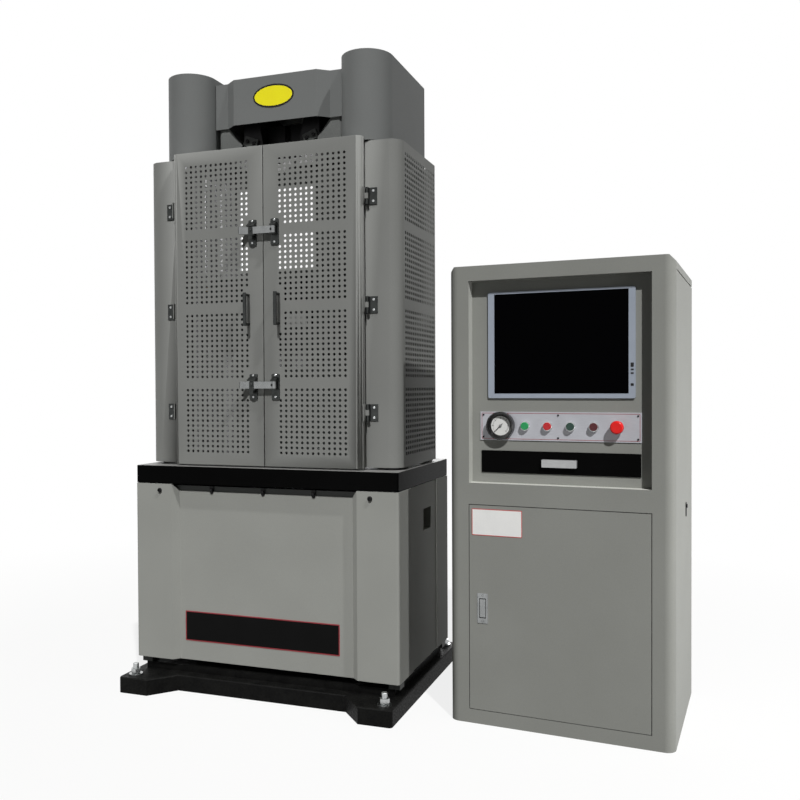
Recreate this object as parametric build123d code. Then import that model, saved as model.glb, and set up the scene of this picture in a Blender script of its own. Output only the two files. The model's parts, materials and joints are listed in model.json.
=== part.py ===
from build123d import *
import math
import os

os.makedirs("parts", exist_ok=True)

# Universal testing machine: a hydraulic load frame and its control console.
# Millimetres, +Z up, front towards -Y, origin on the floor under the load frame's centre.

# Base plate and its floor fixings
BASE_W = 1020.0
BASE_D = 770.0
BASE_T = 55.0
FOOT_W = 115.0
FOOT_RUN = 75.0
FOOT_STEP = 82.0
FOOT_R = 12.0
BASE_EDGE = 3.0
PLINTH_W = 956.0
PLINTH_D = 524.0
PLINTH_TOP = 78.0
ANCHOR_IN_X = 40.0
ANCHOR_IN_Y = 45.0
ANCHOR_X = BASE_W / 2 - ANCHOR_IN_X
ANCHOR_Y = BASE_D / 2 - ANCHOR_IN_Y
ANCHOR_HOLE_R = 13.0
STUD_R = 10.0
STUD_RISE = 36.0
WASHER_R = 24.0
WASHER_T = 4.0
SPOTFACE_CLEAR = 3.0
NUT_AF_R = 17.3
NUT_H = 18.0

# Housing round the base
HOUSE_W = 1004.0
HOUSE_D = 570.0
HOUSE_Z0 = 102.0
HOUSE_Z1 = 728.0
HOUSE_WRAP = 148.0
PANEL_HALF = 333.0
PANEL_STEP = 20.0
PANEL_BEVEL = 22.0
PANEL_TOP = 704.0
SHEET = 2.5
SHEET_GAP = 0.5
PULL_Y = 30.0
PULL_Z = 600.0
PULL_W = 90.0
PULL_H = 77.0
PULL_DEPTH = 30.0
POST = 40.0
RAIL_H = 60.0
RAIL_OVER = 18.0
HOUSE_R = 8.0

# Worktable, columns, screws and hydraulic cylinder
TABLE_W = 1000.0
TABLE_D = 570.0
TABLE_Z0 = 730.0
TABLE_Z1 = 792.0
TABLE_R = 6.0
TABLE_EDGE = 2.0
COL_X = 344.0
COL_Y = 135.0
COL_R = 40.0
COL_FOOT_RIM = 16.0
COL_FOOT_H = 20.0
COL_RING_RIM = 12.0
COL_RING_H = 20.0
COL_NUT_RIM = 18.0
COL_NUT_H = 46.0
COL_END = 60.0
FIXED_FIT = 0.05
RUN_FIT = 0.05
SCREW_R = 30.0
JOURNAL_R = 25.0
SCREW_TOP = 2120.0
SCREW_CLEAR = 8.0
DRIVE_TOP = 195.0
GEAR_HALF_X = 60.0
GEAR_HALF_Y = 75.0
GEAR_EDGE = 14.0
GEAR_CAP_H = 15.0
GEAR_CAP_R = 45.0
GEAR_FLOOR = 12.0
DRIVE_MOTOR_R = 52.0
DRIVE_MOTOR_L = 150.0
DRIVE_MOTOR_RISE = 58.0
COLLAR_R = 40.0
COLLAR_H = 14.0
PISTON_R = 100.0
PISTON_Z0 = 180.0
CYL_R = 150.0
CYL_TOP = 560.0
CYL_FLANGE = 40.0
CYL_FLANGE_T = 30.0
CYL_FLOOR = 40.0
GLAND_RIM = 16.0
GLAND_H = 36.0
PLATEN_R = 110.0
PLATEN_T = 50.0

# Upper crosshead and its covers
HEAD_Z0 = 1900.0
HEAD_HALF = 246.0
HEAD_DEPTH = 126.0
EAR_Z0 = 1950.0
EAR_Z1 = 2060.0
EAR_R = 78.0
NECK_Y = 70.0
HEAD_R = 18.0
HEAD_SLOPE = 24.0
FLARE = 55.0
FLARE_RISE = 49.0
COVER_R = 90.0
COVER_T = 2.0
COVER_BEND = 4.0
COVER_Z0 = 1893.0
COVER_Z1 = 2196.0
HOOD_Z0 = 2010.0
HOOD_Z1 = 2172.0
HOOD_FRONT = 163.0
HOOD_STEP = 30.0
HOOD_BEVEL = 40.0
HOOD_CENTRE = 162.0

# Lower crosshead
LOW_Z0 = 1190.0
LOW_Z1 = 1470.0
LOW_HALF = 285.0
LOW_DEPTH = 150.0
ARM_HALF = 419.0
ARM_ROOT = 110.0
LOW_R = 25.0
LOW_SLOPE = 30.0
ARM_Z0 = 1235.0
ARM_Z1 = 1430.0
NUT_R = 37.5
NUT_RIM = 18.0
NUT_RIM_H = 20.0

# Wedge grips
WEDGE_DEG = 12.0
WEDGE_MOUTH = 62.0
WEDGE_FIT = 0.2
CAVITY_HALF = 150.0
CAVITY_TOP = 2085.0
JAW_H = 120.0
JAW_HALF_Y = 55.0
JAW_OPEN = 12.0
JAW_INSET = 5.0
LINER_HALF_Y = 110.0
LINER_H = 180.0
LINER_INSET = 2.0
LINER_SEAT = 185.0
GROOVE_HALF = 9.0
GROOVE_DEPTH = 8.0

# Enclosure: side panels, doors, hinges, latches and handles
SIDE_SHEET = 1.5
SIDE_X = 487.0
SIDE_Y = 216.0
SIDE_IN = 352.0
BACK_MEET = 1.5
BACK_RISE_X = 245.0
BACK_TOP = 1936.0
WINDOW_IN = 25.0
WINDOW_OUT = 440.0
WINDOW_Z0 = 1540.0
WINDOW_Z1 = 1872.0
WINDOW_R = 12.0
SIDE_FOOT_Y = 120.0
SIDE_FOOT_W = 40.0
SIDE_FOOT_L = 30.0
SIDE_FOOT_T = 4.0
SIDE_R = 45.0
SIDE_Z0 = 800.0
SIDE_Z1 = 1890.0
DOOR_HALF = 364.0
DOOR_MEET = 1.5
DOOR_FRONT = 252.0
DOOR_BACK = 226.0
DOOR_Z0 = 797.0
DOOR_Z1 = 1902.0
DOOR_R = 22.0
DOOR_SHEET = 1.5
HINGE_X = 373.0
HINGE_Y = 226.0
HINGE_Z = (984.0, 1344.0, 1705.0)
HINGE_H = 56.0
KNUCKLE_R = 5.5
PIN_R = 3.0
HANDLE_X = 58.0
HANDLE_Z0 = 1281.0
HANDLE_Z1 = 1396.0
HANDLE_OUT = 32.0
HANDLE_HALF = 6.0
HANDLE_T = 9.0
HANDLE_FOOT_R = 5.0
HANDLE_FOOT_IN = 7.0
HANDLE_EDGE = 2.5
LEAF_W = 34.0
LATCH_Z = (1078.0, 1609.0)
LATCH_PIN_X = 46.0
LATCH_PIN_OUT = 14.0
LATCH_REACH = 122.0
LATCH_H = 24.0
LATCH_T = 4.0
LATCH_EYE_R = 8.0
LATCH_THUMB = 14.0
PLATE_UP = 38.0
PLATE_DOWN = 50.0
GUSSET_H = 11.0
KEEP_X = 39.0
PLATE_HALF_X = 15.0
KEEP_OUT = 22.0
SEAT_OUT = 24.0
SEAT_HALF = 10.0
LATCH_RUN = 0.5
KEEP_RUN = 2.0

# Console, drawn in its own frame (x right, y back from its front-left foot), then placed
CON_X = 662.0
CON_Y = -252.0
CON_YAW = -4.0
CON_W = 694.0
CON_D = 545.0
CON_H = 1450.0
CON_R = 30.0
CON_SHEET = 3.0
CAP_H = 40.0
CAP_GAP = 4.0
CAP_BEVEL = 18.0
LOUVRES = 5
LOUVRE_W = 220.0
LOUVRE_H = 8.0
LOUVRE_PITCH = 24.0
LOUVRE_DROP = 250.0
WIN_X = 66.0
WIN_Z0 = 765.0
WIN_Z1 = 1403.0
WIN_DEPTH = 38.0
SHELF_Z = 725.0
CDOOR_IN = 67.5
CDOOR_X0 = CDOOR_IN
CDOOR_X1 = CON_W - CDOOR_IN
CDOOR_Z0 = 46.0
CDOOR_Z1 = 695.0
CDOOR_T = 20.0
CDOOR_GAP = 2.5
CDOOR_PIN_IN = 8.5
CDOOR_PIN_Y = 8.0
SCREEN_IN_LEFT = 75.0
SCREEN_IN_RIGHT = 71.0
SCREEN_X0 = WIN_X + SCREEN_IN_LEFT
SCREEN_X1 = CON_W - WIN_X - SCREEN_IN_RIGHT
SCREEN_Z0 = 1047.0
SCREEN_Z1 = 1360.0
BEZEL_SIDE = 20.0
BEZEL_LOW = 14.0
BEZEL_TOP = 6.0
BEZEL_T = 6.0
BEZEL_ROUND = 5.0
SCREEN_SUNK = 4.0
SCREEN_T = 2.0
CASE_IN = 10.0
CASE_D = 36.0
CASE_TAPER = 45.0
CUTOUT_IN = 8.0
STRIP_IN_LEFT = 28.0
STRIP_IN_RIGHT = 33.0
STRIP_X0 = WIN_X + STRIP_IN_LEFT
STRIP_X1 = CON_W - WIN_X - STRIP_IN_RIGHT
STRIP_Z0 = 900.0
STRIP_Z1 = 990.0
STRIP_T = 3.0
ROW_Z = 946.0
GAUGE_IN = 69.0
GAUGE_X = STRIP_X0 + GAUGE_IN
GAUGE_R = 44.0
GAUGE_OUT = 22.0
GAUGE_BEHIND = 45.0
GAUGE_BODY_R = 36.0
DIAL_R = 31.0
DIAL_OUT = 9.0
GAUGE_LIP = 4.5
GAUGE_EDGE = 2.0
POST_R = 1.5
POST_OUT = 13.0
NEEDLE_OUT = 11.5
NEEDLE_HUB_R = 4.0
NEEDLE_L = 38.0
NEEDLE_TAIL = 10.0
NEEDLE_T = 2.0
NEEDLE_W = 1.2
BUTTON_IN = 147.0
ESTOP_IN = 70.0
ESTOP_X = STRIP_X1 - ESTOP_IN
BUTTON_NAMES = ("start_button", "stop_button", "load_button", "unload_button")
BUTTON_PITCH = (ESTOP_X - STRIP_X0 - BUTTON_IN) / len(BUTTON_NAMES)
BUTTONS = {name: STRIP_X0 + BUTTON_IN + i * BUTTON_PITCH for i, name in enumerate(BUTTON_NAMES)}
BUTTON_R = 12.4
BUTTON_OUT = 14.5
BUTTON_STROKE = 4.0
BUTTON_SPARE = 0.5
BUTTON_EDGE = 1.5
STEM_R = 8.0
BEZEL_OUT = 9.0
BEZEL_FLOOR = 1.5
BARREL_L = 22.0
BEZEL_R = 14.5
BARREL_R = 11.0
ESTOP_R = 20.0
ESTOP_STEM_R = 8.0
ESTOP_OUT = 30.0
ESTOP_HEAD_T = 16.0
ESTOP_EDGE = 6.0
ESTOP_STEM_IN = 15.0
ESTOP_RING_R = 17.0
ESTOP_RING_OUT = 8.0
ESTOP_RING_IN = 26.0
ESTOP_RING_FLOOR = 3.0
HOLE_FIT = 0.2
DRAWER_IN_LEFT = 32.0
DRAWER_IN_RIGHT = 35.0
DRAWER_X0 = WIN_X + DRAWER_IN_LEFT
DRAWER_X1 = CON_W - WIN_X - DRAWER_IN_RIGHT
DRAWER_Z0 = 797.0
DRAWER_Z1 = 867.0
DRAWER_OUT = 3.0
DRAWER_GAP = 0.5
TRAY_IN = 12.0
TRAY_LIFT = 8.0
TRAY_D = 400.0
CUP_W = 108.0
CUP_SHIFT = 3.5
CUP_OUT = 13.0
CUP_H = 24.0
CUP_DROP = 13.0
CUP_WALL = 3.0
CUP_SKIN = 2.0
CUP_BACK = 1.5
CUP_LIP = 5.0
CUP_R = 2.0
PADDLE_IN = 43.5
PADDLE_X = CDOOR_X0 + PADDLE_IN
PADDLE_Z0 = 322.0
PADDLE_Z1 = 417.0
TANK_X0 = 50.0
TANK_X1 = 400.0
TANK_Y0 = 130.0
TANK_Y1 = 510.0
TANK_TOP = 320.0
TANK_T = 4.0
FILLER_IN = 60.0
FILLER_R = 34.0
FILLER_BORE_R = 28.0
FILLER_H = 40.0
MOTOR_IN = 240.0
MOTOR_R = 85.0
MOTOR_H = 240.0
MOTOR_FLANGE_R = 105.0
MOTOR_FLANGE_T = 30.0
MOTOR_FINS = 20
FIN_OUT = 9.0
FIN_T = 4.0
COWL_R = 92.0
COWL_H = 60.0
COWL_EDGE = 14.0
TERMINAL_W = 100.0
TERMINAL_H = 90.0
TERMINAL_OUT = 112.0
PORT_IN = 134.0
PORT_PITCH = 90.0
PORT_X = (CON_W - PORT_IN - PORT_PITCH, CON_W - PORT_IN)
PORT_Z = 200.0
PORT_R = 9.0
PORT_WALL = 8.0
PORT_IN_L = 20.0
PORT_OUT_L = 18.0


def box(x0, x1, y0, y1, z0, z1):
    return Pos((x0 + x1) / 2, (y0 + y1) / 2, (z0 + z1) / 2) * Box(x1 - x0, y1 - y0, z1 - z0)


def rod(x, y, z0, z1, r):
    return Pos(x, y, (z0 + z1) / 2) * Cylinder(r, z1 - z0)


def rod_y(x, z, y0, y1, r):
    return Pos(x, (y0 + y1) / 2, z) * Rot(90, 0, 0) * Cylinder(r, y1 - y0)


def rod_x(y, z, x0, x1, r):
    return Pos((x0 + x1) / 2, y, z) * Rot(0, 90, 0) * Cylinder(r, x1 - x0)


def plan(points, z0, z1):
    """A plan outline raised from z0 to z1."""
    face = make_face(Polyline([(x, y, z0) for x, y in points], close=True))
    return extrude(face, amount=z1 - z0, dir=(0, 0, 1))


def elevation(points, y0, y1):
    """A front-view outline carried from y0 back to y1."""
    face = make_face(Polyline([(x, y0, z) for x, z in points], close=True))
    return extrude(face, amount=y1 - y0, dir=(0, 1, 0))


def band(path, t):
    """Outline of a bent sheet: the path and the same path moved t to its left."""
    count = len(path)
    inner = []
    for i in range(count):
        a = path[max(i - 1, 0)]
        b = path[i]
        c = path[min(i + 1, count - 1)]
        before = (b[0] - a[0], b[1] - a[1]) if i > 0 else (c[0] - b[0], c[1] - b[1])
        after = (c[0] - b[0], c[1] - b[1]) if i < count - 1 else before
        n1 = (-before[1] / math.hypot(*before), before[0] / math.hypot(*before))
        n2 = (-after[1] / math.hypot(*after), after[0] / math.hypot(*after))
        k = t / (1 + n1[0] * n2[0] + n1[1] * n2[1])
        inner.append((b[0] + k * (n1[0] + n2[0]), b[1] + k * (n1[1] + n2[1])))
    return path + inner[::-1]


def round_upright(solid, corners, r):
    """Round the upright edges that stand at the given plan corners."""
    picked = [
        e
        for e in solid.edges().filter_by(Axis.Z)
        if any(math.hypot(e.center().X - x, e.center().Y - y) < 0.01 for x, y in corners)
    ]
    return fillet(picked, r)


def flip_x(shape):
    return mirror(shape, about=Plane.YZ)


def turned(shape):
    return Rot(0, 0, 180) * shape


def save(node, *shapes):
    export_step(shapes[0] if len(shapes) == 1 else Compound(list(shapes)), f"parts/{node}.step")


def save_console(node, *shapes):
    place = Location((CON_X, CON_Y, 0), (0, 0, CON_YAW))
    save(node, *[place * s for s in shapes])


def base_plate():
    hx = BASE_W / 2
    hy = BASE_D / 2
    inner = hx - FOOT_W - FOOT_RUN
    front = [(-hx, -hy), (-hx + FOOT_W, -hy), (-inner, -hy + FOOT_STEP)]
    front += [(inner, -hy + FOOT_STEP), (hx - FOOT_W, -hy), (hx, -hy)]
    plate = plan(front + [(-x, -y) for x, y in front], 0, BASE_T)
    plate = round_upright(plate, [(sx * hx, sy * hy) for sx in (-1, 1) for sy in (-1, 1)], FOOT_R)
    plate = chamfer(plate.faces().sort_by(Axis.Z)[-1].edges(), BASE_EDGE)
    plate += box(-PLINTH_W / 2, PLINTH_W / 2, -PLINTH_D / 2, PLINTH_D / 2, BASE_T, PLINTH_TOP)
    for sx in (-1, 1):
        for sy in (-1, 1):
            plate -= rod(sx * ANCHOR_X, sy * ANCHOR_Y, -1, BASE_T + 1, ANCHOR_HOLE_R)
            plate -= rod(sx * ANCHOR_X, sy * ANCHOR_Y, BASE_T, PLINTH_TOP + 1, WASHER_R + SPOTFACE_CLEAR)
    return plate


def anchor_stud(x, y):
    washer_top = BASE_T + WASHER_T
    nut = Pos(x, y, washer_top) * extrude(RegularPolygon(NUT_AF_R, 6), NUT_H)
    nut &= Pos(x, y, washer_top + NUT_H) * Sphere(NUT_AF_R + NUT_H / 4)
    stud = rod(x, y, WASHER_T, washer_top + STUD_RISE, STUD_R)
    stud = chamfer(stud.edges().sort_by(Axis.Z)[-1], STUD_R / 6)
    return stud + rod(x, y, BASE_T, washer_top, WASHER_R) + nut


def housing_cover():
    x = HOUSE_W / 2
    y = HOUSE_D / 2
    step = PANEL_HALF + PANEL_BEVEL
    path = [(-x, -y + HOUSE_WRAP), (-x, -y), (-step, -y), (-PANEL_HALF, -y + PANEL_STEP)]
    path += [(-px, py) for px, py in path[::-1]]
    cover = plan(band(path, SHEET), HOUSE_Z0, HOUSE_Z1)
    cover = round_upright(cover, [(-x, -y), (x, -y)], HOUSE_R)
    cover = round_upright(cover, [(-x + SHEET, -y + SHEET), (x - SHEET, -y + SHEET)], HOUSE_R - SHEET)
    notch = [(-step, HOUSE_Z1 + 1), (step, HOUSE_Z1 + 1), (PANEL_HALF, PANEL_TOP), (-PANEL_HALF, PANEL_TOP)]
    return cover - elevation(notch, -y - 1, -y + PANEL_STEP + 20)


def housing_side():
    x1 = HOUSE_W / 2 - SHEET - SHEET_GAP
    y = HOUSE_D / 2 - HOUSE_R
    side = box(x1 - SHEET, x1, -y, y, HOUSE_Z0, HOUSE_Z1)
    y0 = PULL_Y - PULL_W / 2
    y1 = PULL_Y + PULL_W / 2
    z0 = PULL_Z - PULL_H / 2
    z1 = PULL_Z + PULL_H / 2
    side += box(x1 - PULL_DEPTH, x1 - SHEET, y0 - 2, y1 + 2, z0 - 2, z1 + 2)
    return side - box(x1 - PULL_DEPTH + 2, x1 + 1, y0, y1, z0, z1)


def housing_frame():
    x = HOUSE_W / 2 - 2 * SHEET - 2 * SHEET_GAP
    y = HOUSE_D / 2 - PANEL_STEP - SHEET - SHEET_GAP
    top = PANEL_TOP + RAIL_OVER
    frame = box(-x, x, -y, y, top - RAIL_H, top)
    frame -= box(-x + POST, x - POST, -y + POST / 2, y - POST / 2, top - RAIL_H - 1, top + 1)
    for sx in (-1, 1):
        for sy in (-1, 1):
            px = sx * (x - POST / 2)
            py = sy * (y - POST / 2)
            frame += box(px - POST / 2, px + POST / 2, py - POST / 2, py + POST / 2, PLINTH_TOP, top)
    return frame


def cylinder():
    body = rod(0, 0, PLINTH_TOP, PLINTH_TOP + CYL_FLANGE_T, CYL_R + CYL_FLANGE)
    body += rod(0, 0, PLINTH_TOP, CYL_TOP, CYL_R)
    gland = rod(0, 0, CYL_TOP - GLAND_H, CYL_TOP, CYL_R + GLAND_RIM)
    body += chamfer(gland.edges().sort_by(Axis.Z)[-1], GLAND_RIM / 4)
    return body - rod(0, 0, PLINTH_TOP + CYL_FLOOR, CYL_TOP + 1, PISTON_R + RUN_FIT)


def screw_drive(side):
    x = side * COL_X
    gx = GEAR_HALF_X
    gy = GEAR_HALF_Y
    gear = box(x - gx, x + gx, -gy, gy, PLINTH_TOP, DRIVE_TOP - GEAR_CAP_H)
    gear = round_upright(gear, [(x + i * gx, j * gy) for i in (-1, 1) for j in (-1, 1)], GEAR_EDGE)
    gear += rod(x, 0, DRIVE_TOP - GEAR_CAP_H, DRIVE_TOP, GEAR_CAP_R)
    motor = rod_y(x, PLINTH_TOP + DRIVE_MOTOR_RISE, gy, gy + DRIVE_MOTOR_L, DRIVE_MOTOR_R)
    return gear + motor - rod(x, 0, PLINTH_TOP + GEAR_FLOOR, DRIVE_TOP + 1, JOURNAL_R + RUN_FIT)


def lead_screw(side):
    x = side * COL_X
    journal = rod(x, 0, PLINTH_TOP + GEAR_FLOOR + SHEET_GAP, DRIVE_TOP, JOURNAL_R)
    collar = rod(x, 0, DRIVE_TOP, DRIVE_TOP + COLLAR_H, COLLAR_R)
    shank = chamfer(rod(x, 0, DRIVE_TOP, SCREW_TOP, SCREW_R).edges().sort_by(Axis.Z)[-1], SCREW_R / 10)
    return journal + collar + shank


def worktable():
    x = TABLE_W / 2
    y = TABLE_D / 2
    table = box(-x, x, -y, y, TABLE_Z0, TABLE_Z1)
    table = round_upright(table, [(i * x, j * y) for i in (-1, 1) for j in (-1, 1)], TABLE_R)
    table = chamfer(table.faces().sort_by(Axis.Z)[-1].edges(), TABLE_EDGE)
    for side in (-1, 1):
        table -= rod(side * COL_X, 0, TABLE_Z0 - 1, TABLE_Z1 + 1, SCREW_R + SCREW_CLEAR)
    return table


def column(x, y):
    """Turned column with a foot ring on the table, a ring under the ear and a nut on top of it."""
    top = EAR_Z1 + COL_END
    foot = COL_R + COL_FOOT_RIM
    ring = COL_R + COL_RING_RIM
    half = [(0, TABLE_Z1), (foot, TABLE_Z1), (foot, TABLE_Z1 + COL_FOOT_H), (COL_R, TABLE_Z1 + COL_FOOT_H)]
    half += [(COL_R, EAR_Z0 - COL_RING_H), (ring, EAR_Z0 - COL_RING_H), (ring, EAR_Z0), (COL_R, EAR_Z0)]
    half += [(COL_R, top - COL_R / 10), (COL_R * 0.9, top), (0, top)]
    shaft = revolve(make_face(Polyline([(r, 0, z) for r, z in half], close=True)), Axis.Z)
    nut = Pos(0, 0, EAR_Z1) * extrude(RegularPolygon(COL_R + COL_NUT_RIM, 6), COL_NUT_H)
    return Pos(x, y, 0) * (shaft + nut)


def upper_crosshead():
    top = HOOD_Z1 - SHEET - SHEET_GAP
    x = HEAD_HALF
    y = HEAD_DEPTH
    face = [(x - HEAD_SLOPE, HEAD_Z0), (x, HEAD_Z0 + HEAD_SLOPE), (x, top)]
    head = elevation(face + [(-px, pz) for px, pz in face[::-1]], -y, y)
    block = box(-x, x, -y, y, HEAD_Z0, top)
    head &= round_upright(block, [(i * x, j * y) for i in (-1, 1) for j in (-1, 1)], HEAD_R)
    flare = CAVITY_HALF + FLARE
    hollow = [(CAVITY_HALF, HEAD_Z0 - 1), (CAVITY_HALF, HEAD_Z0 + FLARE_RISE)]
    hollow += [(flare, HOOD_Z0 + FLARE / 11), (flare, CAVITY_TOP)]
    head -= elevation(hollow + [(-x, z) for x, z in hollow[::-1]], -HEAD_DEPTH - 1, HEAD_DEPTH + 1)
    for side in (-1, 1):
        x = side * COL_X
        root = side * (HEAD_HALF - HEAD_R)
        head += box(min(root, x), max(root, x), -NECK_Y, NECK_Y, EAR_Z0, EAR_Z1)
        head += box(x - EAR_R, x + EAR_R, -COL_Y, COL_Y, EAR_Z0, EAR_Z1)
        for y in (-COL_Y, COL_Y):
            head += rod(x, y, EAR_Z0, EAR_Z1, EAR_R)
    for side in (-1, 1):
        head -= rod(side * COL_X, 0, EAR_Z0 - 1, EAR_Z1 + 1, SCREW_R + SCREW_CLEAR)
        for y in (-COL_Y, COL_Y):
            head -= rod(side * COL_X, y, EAR_Z0 - 1, EAR_Z1 + 1, COL_R + FIXED_FIT)
    return head


def grip_pair(mouth_z, up):
    """Right liner and right jaw of a wedge grip whose mouth is at mouth_z and which deepens by up."""
    slope = math.tan(math.radians(WEDGE_DEG))
    outer = CAVITY_HALF - SHEET_GAP
    z0 = mouth_z + up * LINER_INSET
    z1 = mouth_z + up * LINER_H
    x0 = WEDGE_MOUTH + slope * LINER_INSET
    x1 = WEDGE_MOUTH + slope * LINER_H
    liner = [(x0, z0), (outer, z0), (outer, z1), (x1, z1)]
    z2 = mouth_z + up * JAW_INSET
    z3 = mouth_z + up * (JAW_INSET + JAW_H)
    near = WEDGE_MOUTH - WEDGE_FIT + slope * JAW_INSET
    far = WEDGE_MOUTH - WEDGE_FIT + slope * (JAW_INSET + JAW_H)
    jaw = elevation([(JAW_OPEN, z2), (near, z2), (far, z3), (JAW_OPEN, z3)], -JAW_HALF_Y, JAW_HALF_Y)
    groove = [(JAW_OPEN, -GROOVE_HALF), (JAW_OPEN + GROOVE_DEPTH, 0), (JAW_OPEN, GROOVE_HALF)]
    jaw -= plan(groove, min(z2, z3) - 1, max(z2, z3) + 1)
    return elevation(liner, -LINER_HALF_Y, LINER_HALF_Y), jaw


def column_cover(side):
    """Folded cover over two columns and a screw: round in front, square at the back."""
    x = side * COL_X
    back = COL_Y + COVER_R
    shell = box(x - COVER_R, x + COVER_R, -COL_Y, back, COVER_Z0, COVER_Z1)
    shell = round_upright(shell, [(x - COVER_R, back), (x + COVER_R, back)], COVER_BEND)
    shell += rod(x, -COL_Y, COVER_Z0, COVER_Z1, COVER_R)
    core_r = COVER_R - COVER_T
    core = box(x - core_r, x + core_r, -COL_Y, back - COVER_T, COVER_Z0 - 1, COVER_Z1 - COVER_T)
    core += rod(x, -COL_Y, COVER_Z0 - 1, COVER_Z1 - COVER_T, core_r)
    shell = chamfer(shell.faces().sort_by(Axis.Z)[-1].outer_wire().edges(), COVER_T / 2)
    inner = x - side * COVER_R
    reach = 3 * COVER_T
    slot = box(inner - reach, inner + reach, -NECK_Y - 1, NECK_Y + 1, COVER_Z0 - 1, EAR_Z1 + 1)
    return shell - core - slot


def column_cover_stay(side):
    """Strap on the crosshead ear that the cover is screwed to."""
    x0 = side * (COL_X + EAR_R)
    x1 = side * (COL_X + COVER_R - COVER_T)
    return box(min(x0, x1), max(x0, x1), -30, 30, EAR_Z0 + 20, EAR_Z1 - 20)


def crosshead_hood():
    end = COL_X - COVER_R - 2
    step = HOOD_CENTRE + HOOD_BEVEL
    back = HOOD_FRONT - HOOD_STEP
    half = [(-end, -back), (-step, -back), (-HOOD_CENTRE, -HOOD_FRONT)]
    half += [(-x, y) for x, y in half[::-1]]
    hood = plan(half + [(-x, -y) for x, y in half], HOOD_Z0, HOOD_Z1)
    lean = SHEET * math.tan(math.atan2(HOOD_STEP, HOOD_BEVEL) / 2)
    inside = [(-end - 1, -back + SHEET), (-step + lean, -back + SHEET)]
    inside += [(-HOOD_CENTRE + lean, -HOOD_FRONT + SHEET)]
    inside += [(-x, y) for x, y in inside[::-1]]
    return hood - plan(inside + [(-x, -y) for x, y in inside], HOOD_Z0 - 1, HOOD_Z1 - SHEET)


def side_panel():
    """Right panel: a front strip beside the door, the side, and a back that reaches the middle."""
    t = SIDE_SHEET
    x = SIDE_X - t
    y = SIDE_Y - t
    panel = box(BACK_MEET, SIDE_X, -SIDE_Y, SIDE_Y, SIDE_Z0, SIDE_Z1)
    panel = round_upright(panel, [(SIDE_X, -SIDE_Y), (SIDE_X, SIDE_Y)], SIDE_R)
    core = box(BACK_MEET - 1, x, -y, y, SIDE_Z0 - 1, SIDE_Z1 + 1)
    panel -= round_upright(core, [(x, -y), (x, y)], SIDE_R - t)
    panel -= box(BACK_MEET - 1, SIDE_IN, -SIDE_Y - 1, 0, SIDE_Z0 - 1, SIDE_Z1 + 1)
    panel += box(BACK_MEET, BACK_RISE_X, y, SIDE_Y, SIDE_Z0, BACK_TOP)
    w = SIDE_FOOT_W / 2
    for y in (-SIDE_FOOT_Y, SIDE_FOOT_Y):
        panel += box(x - SIDE_FOOT_L, x, y - w, y + w, TABLE_Z1, TABLE_Z1 + SIDE_FOOT_T)
        panel += box(x - SIDE_FOOT_T, x, y - w, y + w, TABLE_Z1, SIDE_Z0 + SIDE_FOOT_W)
    return panel


def rear_window():
    """Opening with round corners in the back of the panel that stands on the left."""
    window = box(WINDOW_IN, WINDOW_OUT, SIDE_Y - 2 * SIDE_SHEET, SIDE_Y + SIDE_SHEET, WINDOW_Z0, WINDOW_Z1)
    return fillet(window.edges().filter_by(Axis.Y), WINDOW_R)


def hinge_fixed(z):
    """Hinge leaf on the right side panel, with its outer knuckles and pin."""
    leaf = box(HINGE_X, HINGE_X + LEAF_W, -SIDE_Y - SHEET, -SIDE_Y, z - HINGE_H / 2, z + HINGE_H / 2)
    third = HINGE_H / 6 + 0.2
    for z0, z1 in ((z - HINGE_H / 2, z - third), (z + third, z + HINGE_H / 2)):
        leaf += rod(HINGE_X, -HINGE_Y, z0, z1, KNUCKLE_R)
        leaf += box(HINGE_X, HINGE_X + KNUCKLE_R, -HINGE_Y, -SIDE_Y, z0, z1)
    return leaf + rod(HINGE_X, -HINGE_Y, z - HINGE_H / 2, z + HINGE_H / 2, PIN_R)


def hinge_moving(z):
    """Hinge leaf welded to the right door's edge, with the middle knuckle."""
    x1 = DOOR_HALF + SHEET
    leaf = box(DOOR_HALF, x1, -HINGE_Y - 20, -HINGE_Y, z - HINGE_H / 2, z + HINGE_H / 2)
    third = HINGE_H / 6 - 0.2
    leaf += box(x1, HINGE_X, -HINGE_Y - KNUCKLE_R, -HINGE_Y, z - third, z + third)
    leaf += rod(HINGE_X, -HINGE_Y, z - third, z + third, KNUCKLE_R)
    return leaf - rod(HINGE_X, -HINGE_Y, z - third - 1, z + third + 1, PIN_R + RUN_FIT)


def door():
    pan = box(DOOR_MEET, DOOR_HALF, -DOOR_FRONT, -DOOR_BACK, DOOR_Z0, DOOR_Z1)
    pan = round_upright(pan, [(DOOR_HALF, -DOOR_FRONT)], DOOR_R)
    t = DOOR_SHEET
    core = box(DOOR_MEET + t, DOOR_HALF - t, -DOOR_FRONT + t, -DOOR_BACK + 1, DOOR_Z0 + t, DOOR_Z1 - t)
    pan -= round_upright(core, [(DOOR_HALF - t, -DOOR_FRONT + t)], DOOR_R - t)
    for z in HINGE_Z:
        pan += hinge_moving(z)
    return pan


def pull_handle(x):
    y = -DOOR_FRONT - HANDLE_OUT
    bar = box(x - HANDLE_HALF, x + HANDLE_HALF, y, y + HANDLE_T, HANDLE_Z0, HANDLE_Z1)
    bar = fillet(bar.edges(), HANDLE_EDGE)
    for z in (HANDLE_Z0 + HANDLE_FOOT_IN, HANDLE_Z1 - HANDLE_FOOT_IN):
        bar += rod_y(x, z, y + HANDLE_T / 2, -DOOR_FRONT, HANDLE_FOOT_R)
    return bar


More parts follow.
